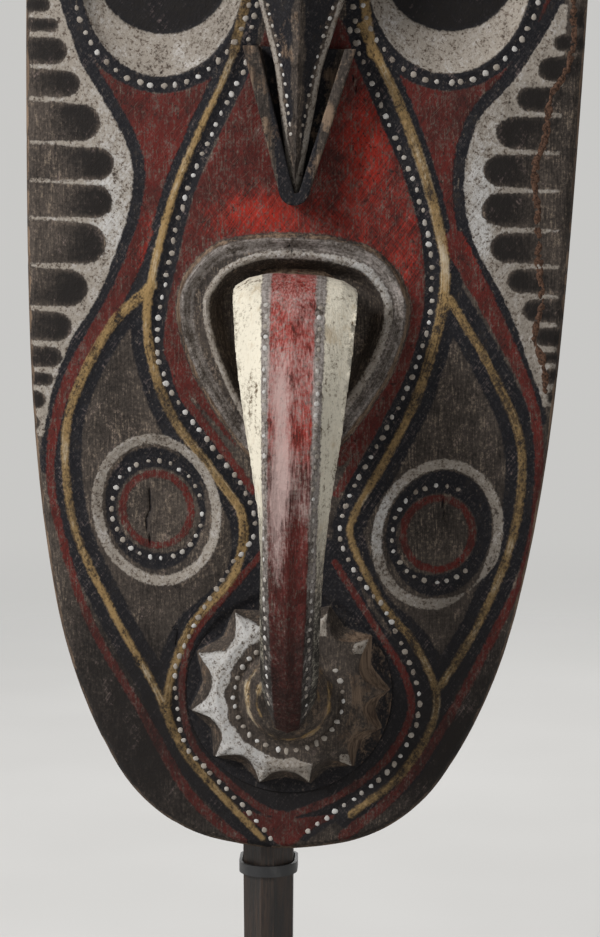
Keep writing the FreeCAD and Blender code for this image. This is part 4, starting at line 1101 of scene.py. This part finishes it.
class MASK_OT_dots(bpy.types.Operator):
    """Sets the rows of white dots, each a small raised dab of paint"""

    bl_idname = "mask.dots"
    bl_label = "Painted dots"

    def execute(self, context):
        sizes = context.scene.mask_sizes
        pitch, radius = sizes.dot_pitch * 1000, sizes.dot_radius * 1000
        board = [(evenly(line, pitch, 10 + side), radius) for side, line in DOT_LINES.items()]
        for flip in (False, True):
            board.append((evenly(mirrored(UPPER_DOTS) if flip else UPPER_DOTS, pitch, 20 + flip), radius))
        for i, centre in enumerate(EYES):
            ring = oval_line(centre, (EYE_HALF[0] + 4.6, EYE_HALF[1] + 4.6), 0, 360, count=60)
            board.append((evenly(ring, 6.6, 30 + i), radius * 1.05))
        for i, (centre, tilt) in enumerate(zip(CHEEKS, CHEEK_TILTS)):
            start, end = (0, 352) if i == 0 else (75, 330)
            ring = oval_line(centre, (24.5, 26.5), start, end, tilt, 40)
            board.append((evenly(ring, 6.0, 40 + i), radius * 0.9))
        nose, bill = [], []
        for side in (-1, 1):
            levels = np.linspace(304, 84, 16)
            middle = np.interp(levels, (NOSE_TIP[1], NOSE_ROOT[1]), (NOSE_TIP[0], NOSE_ROOT[0]))
            line = np.stack((middle + side * (cone_edge(levels) + 2.3), levels), 1)
            nose.append((evenly(line, 5.4, 50 + side), radius * 0.85))
            line = [(BILL_X + side * (bill_half(up) - 4.4), BILL_TIP_Z + up) for up in (30, 55, 80, 105)]
            bill.append((evenly(line, 5.2, 70 + side), radius * 0.7))
        ring = oval_line(ROSETTE, (29.3, 29.3), 100, 400, count=50)
        rosette = [(evenly(ring, 5.6, 60), radius * 0.95)]
        on_pieces = {"board": board, "nose": nose, "rosette": rosette, "upper_bill": bill}
        for name, groups in on_pieces.items():
            self.dab("painted_" + name, groups)
        return {"FINISHED"}

    def dab(self, on, groups):
        """Makes the dots of one piece, low domes set on the surface that a ray from the front meets."""
        tree = surface_of(on)
        rng = np.random.default_rng(5)
        verts, faces, tones = [], [], []
        sides = 9
        for places, radius in groups:
            for x, z in places:
                start = Vector(to_row((x, -160.0, z)))
                hit, normal, _, _ = tree.ray_cast(start, Vector((0, 1, 0)))
                if hit is None or abs(normal.y) < 0.25:
                    continue
                if normal.y > 0:
                    normal = -normal
                turn = normal.to_track_quat("Z", "Y").to_matrix()
                size = radius * rng.uniform(0.78, 1.18) * 0.001
                stretch = rng.uniform(0.85, 1.15)
                first = len(verts)
                tones += [rng.uniform(0, 1)] * (3 * sides + 1)
                for share, lift in ((1.0, -0.00015), (0.86, 0.00022), (0.45, 0.00036)):
                    for i in range(sides):
                        angle = 2 * math.pi * i / sides
                        reach = size * share * (1 + 0.10 * rng.normal())
                        u, v = reach * math.cos(angle) * stretch, reach * math.sin(angle) / stretch
                        local = Vector((u, v, lift))
                        verts.append(hit + turn @ local)
                verts.append(hit + normal * 0.0004)
                for ring in (0, 1):
                    for i in range(sides):
                        a, b = first + ring * sides + i, first + ring * sides + (i + 1) % sides
                        faces.append((a, b, b + sides, a + sides))
                last = first + 2 * sides
                faces += [(last + i, last + (i + 1) % sides, first + 3 * sides) for i in range(sides)]
        mesh = bpy.data.meshes.new(on.replace("painted", "dots_on"))
        mesh.from_pydata(verts, [], faces)
        mesh.attributes.new("tone", "FLOAT", "POINT").data.foreach_set("value", np.array(tones, np.float32))
        obj = bpy.data.objects.new(mesh.name, mesh)
        bpy.context.scene.collection.objects.link(obj)
        fresh_selection(obj)
        bpy.ops.object.shade_smooth()
        dress(obj, dot_finish(), "mask", "painted_wood")


def dot_finish():
    """Chalk white dabs, each a little different."""
    found = bpy.data.materials.get("dot_white")
    if found:
        return found
    f = Finish("dot_white")
    c = bpy.context.scene.mask_colours
    speck = f.grain(0.9, 3.0, 0.7)
    worn = speck * 0.4 + f.grain(30.0, 3.0, 0.6) * 0.3 + f.stored("tone") * 0.3
    colour = f.mix(c.white_dark, c.white, worn.between(0.22, 0.46))
    colour = f.mix(colour, c.white_bright, worn.between(0.44, 0.70))
    return f.finish_with(colour, 0.8, speck, depth=0.1, specular=0.3)


class MASK_OT_mud(bpy.types.Operator):
    """Lays the insects' dried mud trail down the right edge"""

    bl_idname = "mask.mud"
    bl_label = "Mud trail"

    def execute(self, context):
        tree = surface_of("painted_board")
        line = smooth(MUD_TRAIL, step=0.8)
        runs, across = len(line), 9
        obj = new_grid("mud_trail", across, runs)
        side = np.gradient(line, axis=0)
        side = np.stack((side[:, 1], -side[:, 0]), 1) / np.linalg.norm(side, axis=1)[:, None]
        share = np.tile(np.linspace(-1, 1, across), runs)
        centre, side = np.repeat(line, across, 0), np.repeat(side, across, 0)
        flat = np.stack((centre[:, 0], centre[:, 0] * 0, centre[:, 1]), 1)
        width = 2.2 + 1.6 * rough(flat, 6.0, 3.0) + 0.8 * rough(flat, 2.2, 5.0)
        from_end = np.minimum(along(line), along(line)[::-1])
        width = np.maximum(width, 0.25) * step(0, 6, from_end).repeat(across)
        place = centre + side * (share * width + 0.9 * rough(flat, 9.0, 1.0))[:, None]
        flat = np.stack((place[:, 0], place[:, 0] * 0, place[:, 1]), 1)
        lift = (1 - share ** 2) * (0.7 + 0.9 * rough(flat, 2.0, 6.0)) * np.minimum(width, 1.6) * 0.6 - 0.3
        points = []
        for (x, z), up in zip(place, lift):
            hit = tree.ray_cast(Vector(to_row((x, -80.0, z))), Vector((0, 1, 0)))[0]
            points.append((hit.x, hit.y - up * 0.001, hit.z))
        move_points(obj.data, points)
        bpy.ops.object.shade_smooth()
        f = Finish("dried_mud")
        crumbs = f.grain(1.3, 4.0, 0.75)
        colour = f.mix((0.022, 0.013, 0.009), (0.115, 0.062, 0.040), crumbs.between(0.35, 0.62))
        dress(obj, f.finish_with(colour, 0.9, crumbs, depth=0.8, specular=0.15), "mask", "painted_wood")
        return {"FINISHED"}


class MASK_OT_bare_wood(bpy.types.Operator):
    """Gives the post, the wedge and the pegs their bare wood"""

    bl_idname = "mask.bare_wood"
    bl_label = "Post and pegs"

    def execute(self, context):
        post = wood_finish("post_wood", (0.007, 0.005, 0.004), (0.034, 0.020, 0.013))
        pegs = wood_finish("peg_wood", (0.120, 0.070, 0.035), (0.300, 0.190, 0.100), 8.0)
        for name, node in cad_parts.items():
            is_peg = any(word in name for word in ("dowel", "peg", "wedge"))
            wood = post if name == "back_post" else pegs if is_peg else None
            if wood:
                node.data.materials.clear()
                node.data.materials.append(wood)
        return {"FINISHED"}


class MASK_OT_stand(bpy.types.Operator):
    """Finishes the steel stand"""

    bl_idname = "mask.stand"
    bl_label = "Display stand"

    def execute(self, context):
        steel, felt = steel_finish(), felt_finish()
        for name in ("base_plate", "upright_bar", "foot_socket", "collar_strap", "base_felt"):
            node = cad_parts[name]
            node.data.materials.clear()
            node.data.materials.append(felt if name == "base_felt" else steel)
        return {"FINISHED"}


# metres, in the row's frame: where the camera looks, from which side, and how much height it sees there
AIM, AZIMUTH, VIEW_HEIGHT = (0.0048, -0.0244, 0.3698), math.radians(1.5), 0.500358
# each lamp's place and side in metres, and its share of the lamp power
LAMPS = (("key", (-1.9, -1.5, 1.85), 0.8, 2.2), ("fill", (1.5, -1.9, 0.8), 1.6, 0.22),
         ("back", (0.4, 1.6, 1.5), 1.2, 0.5))
FLOOR_RADIUS, FLOOR_FADE = 9.0, (2.3, 0.7)


class MASK_OT_stage(bpy.types.Operator):
    """Makes the floor, the lamps and the camera"""

    bl_idname = "mask.stage"
    bl_label = "Stage"

    def execute(self, context):
        scene, sizes = context.scene, context.scene.mask_sizes
        scene.view_settings.view_transform = "Standard"
        bpy.ops.object.select_all(action="DESELECT")
        bpy.ops.mesh.primitive_circle_add(vertices=96, radius=FLOOR_RADIUS, fill_type="NGON")
        floor = context.active_object
        floor.name = "floor"
        f = Finish("floor")
        tone = f.grain(300.0, 2.0).between(0.3, 0.7)
        pale = f.mix((0.60, 0.59, 0.57), (0.63, 0.62, 0.60), tone)
        away = f.node("ShaderNodeVectorMath", {"operation": "LENGTH"}, f.place, output="Value")
        f.put(f.shader.inputs["Alpha"], away.between(*FLOOR_FADE))
        floor.data.materials.append(f.finish_with(pale, 0.9, specular=0.1))
        world = bpy.data.worlds.new("room")
        f = Finish("room", world)
        light = f.tree.nodes["Background"]
        light.inputs["Color"].default_value = (0.80, 0.81, 0.83, 1.0)
        light.inputs["Strength"].default_value = 0.30
        rays = f.node("ShaderNodeLightPath", {}, output="Is Camera Ray")
        seen = rays
        for kind in ("Is Glossy Ray", "Is Transmission Ray"):
            seen = seen.most(Field(f, rays.socket.node.outputs[kind]))
        wall = f.node("ShaderNodeBackground", {}, (0.58, 0.575, 0.56, 1.0), 1.0)
        both = f.node("ShaderNodeMixShader", {}, seen, Field(f, light.outputs[0]), wall)
        f.put(f.tree.nodes["World Output"].inputs["Surface"], both)
        scene.world = world
        for name, place, size, power in LAMPS:
            lamp = bpy.data.lights.new(name, "AREA")
            lamp.energy, lamp.size = sizes.lamp_power * power, size
            holder = bpy.data.objects.new(name, lamp)
            holder.location = place
            holder.rotation_euler = (Vector((0, 0, 0.5)) - Vector(place)).to_track_quat("-Z", "Y").to_euler()
            scene.collection.objects.link(holder)
        aim, a, e = Vector(AIM), AZIMUTH, sizes.camera_height
        back = Vector((math.sin(a) * math.cos(e), -math.cos(a) * math.cos(e), math.sin(e)))
        camera = bpy.data.objects.new("camera", bpy.data.cameras.new("camera"))
        camera.location = aim + back * sizes.camera_distance
        camera.rotation_euler = (-back).to_track_quat("-Z", "Y").to_euler()
        camera.data.lens = 36.0 * sizes.camera_distance / VIEW_HEIGHT
        camera.data.clip_end = 50.0
        scene.collection.objects.link(camera)
        scene.camera = camera
        return {"FINISHED"}


class MASK_PT_panel(bpy.types.Panel):
    bl_idname = "MASK_PT_panel"
    bl_label = "Carved mask"
    bl_space_type = "VIEW_3D"
    bl_region_type = "UI"
    bl_category = "Carved mask"

    def draw(self, context):
        for group in (context.scene.mask_sizes, context.scene.mask_colours):
            for name in group.__annotations__:
                self.layout.prop(group, name)
        for operator in OPERATORS:
            self.layout.operator(operator.bl_idname)


OPERATORS = (MASK_OT_board, MASK_OT_nose, MASK_OT_rosette, MASK_OT_bills, MASK_OT_dots, MASK_OT_mud,
             MASK_OT_bare_wood, MASK_OT_stand, MASK_OT_stage)
CLASSES = (MaskColours, MaskSizes, *OPERATORS, MASK_PT_panel)


def register():
    for cls in CLASSES:
        bpy.utils.register_class(cls)
    bpy.types.Scene.mask_colours = bpy.props.PointerProperty(type=MaskColours)
    bpy.types.Scene.mask_sizes = bpy.props.PointerProperty(type=MaskSizes)


def unregister():
    del bpy.types.Scene.mask_sizes
    del bpy.types.Scene.mask_colours
    for cls in reversed(CLASSES):
        bpy.utils.unregister_class(cls)


def main():
    register()
    bpy.ops.mask.board()
    bpy.ops.mask.nose()
    bpy.ops.mask.rosette()
    bpy.ops.mask.bills()
    bpy.ops.mask.dots()
    bpy.ops.mask.mud()
    bpy.ops.mask.bare_wood()
    bpy.ops.mask.stand()
    bpy.ops.mask.stage()


if __name__ == "__main__":
    main()
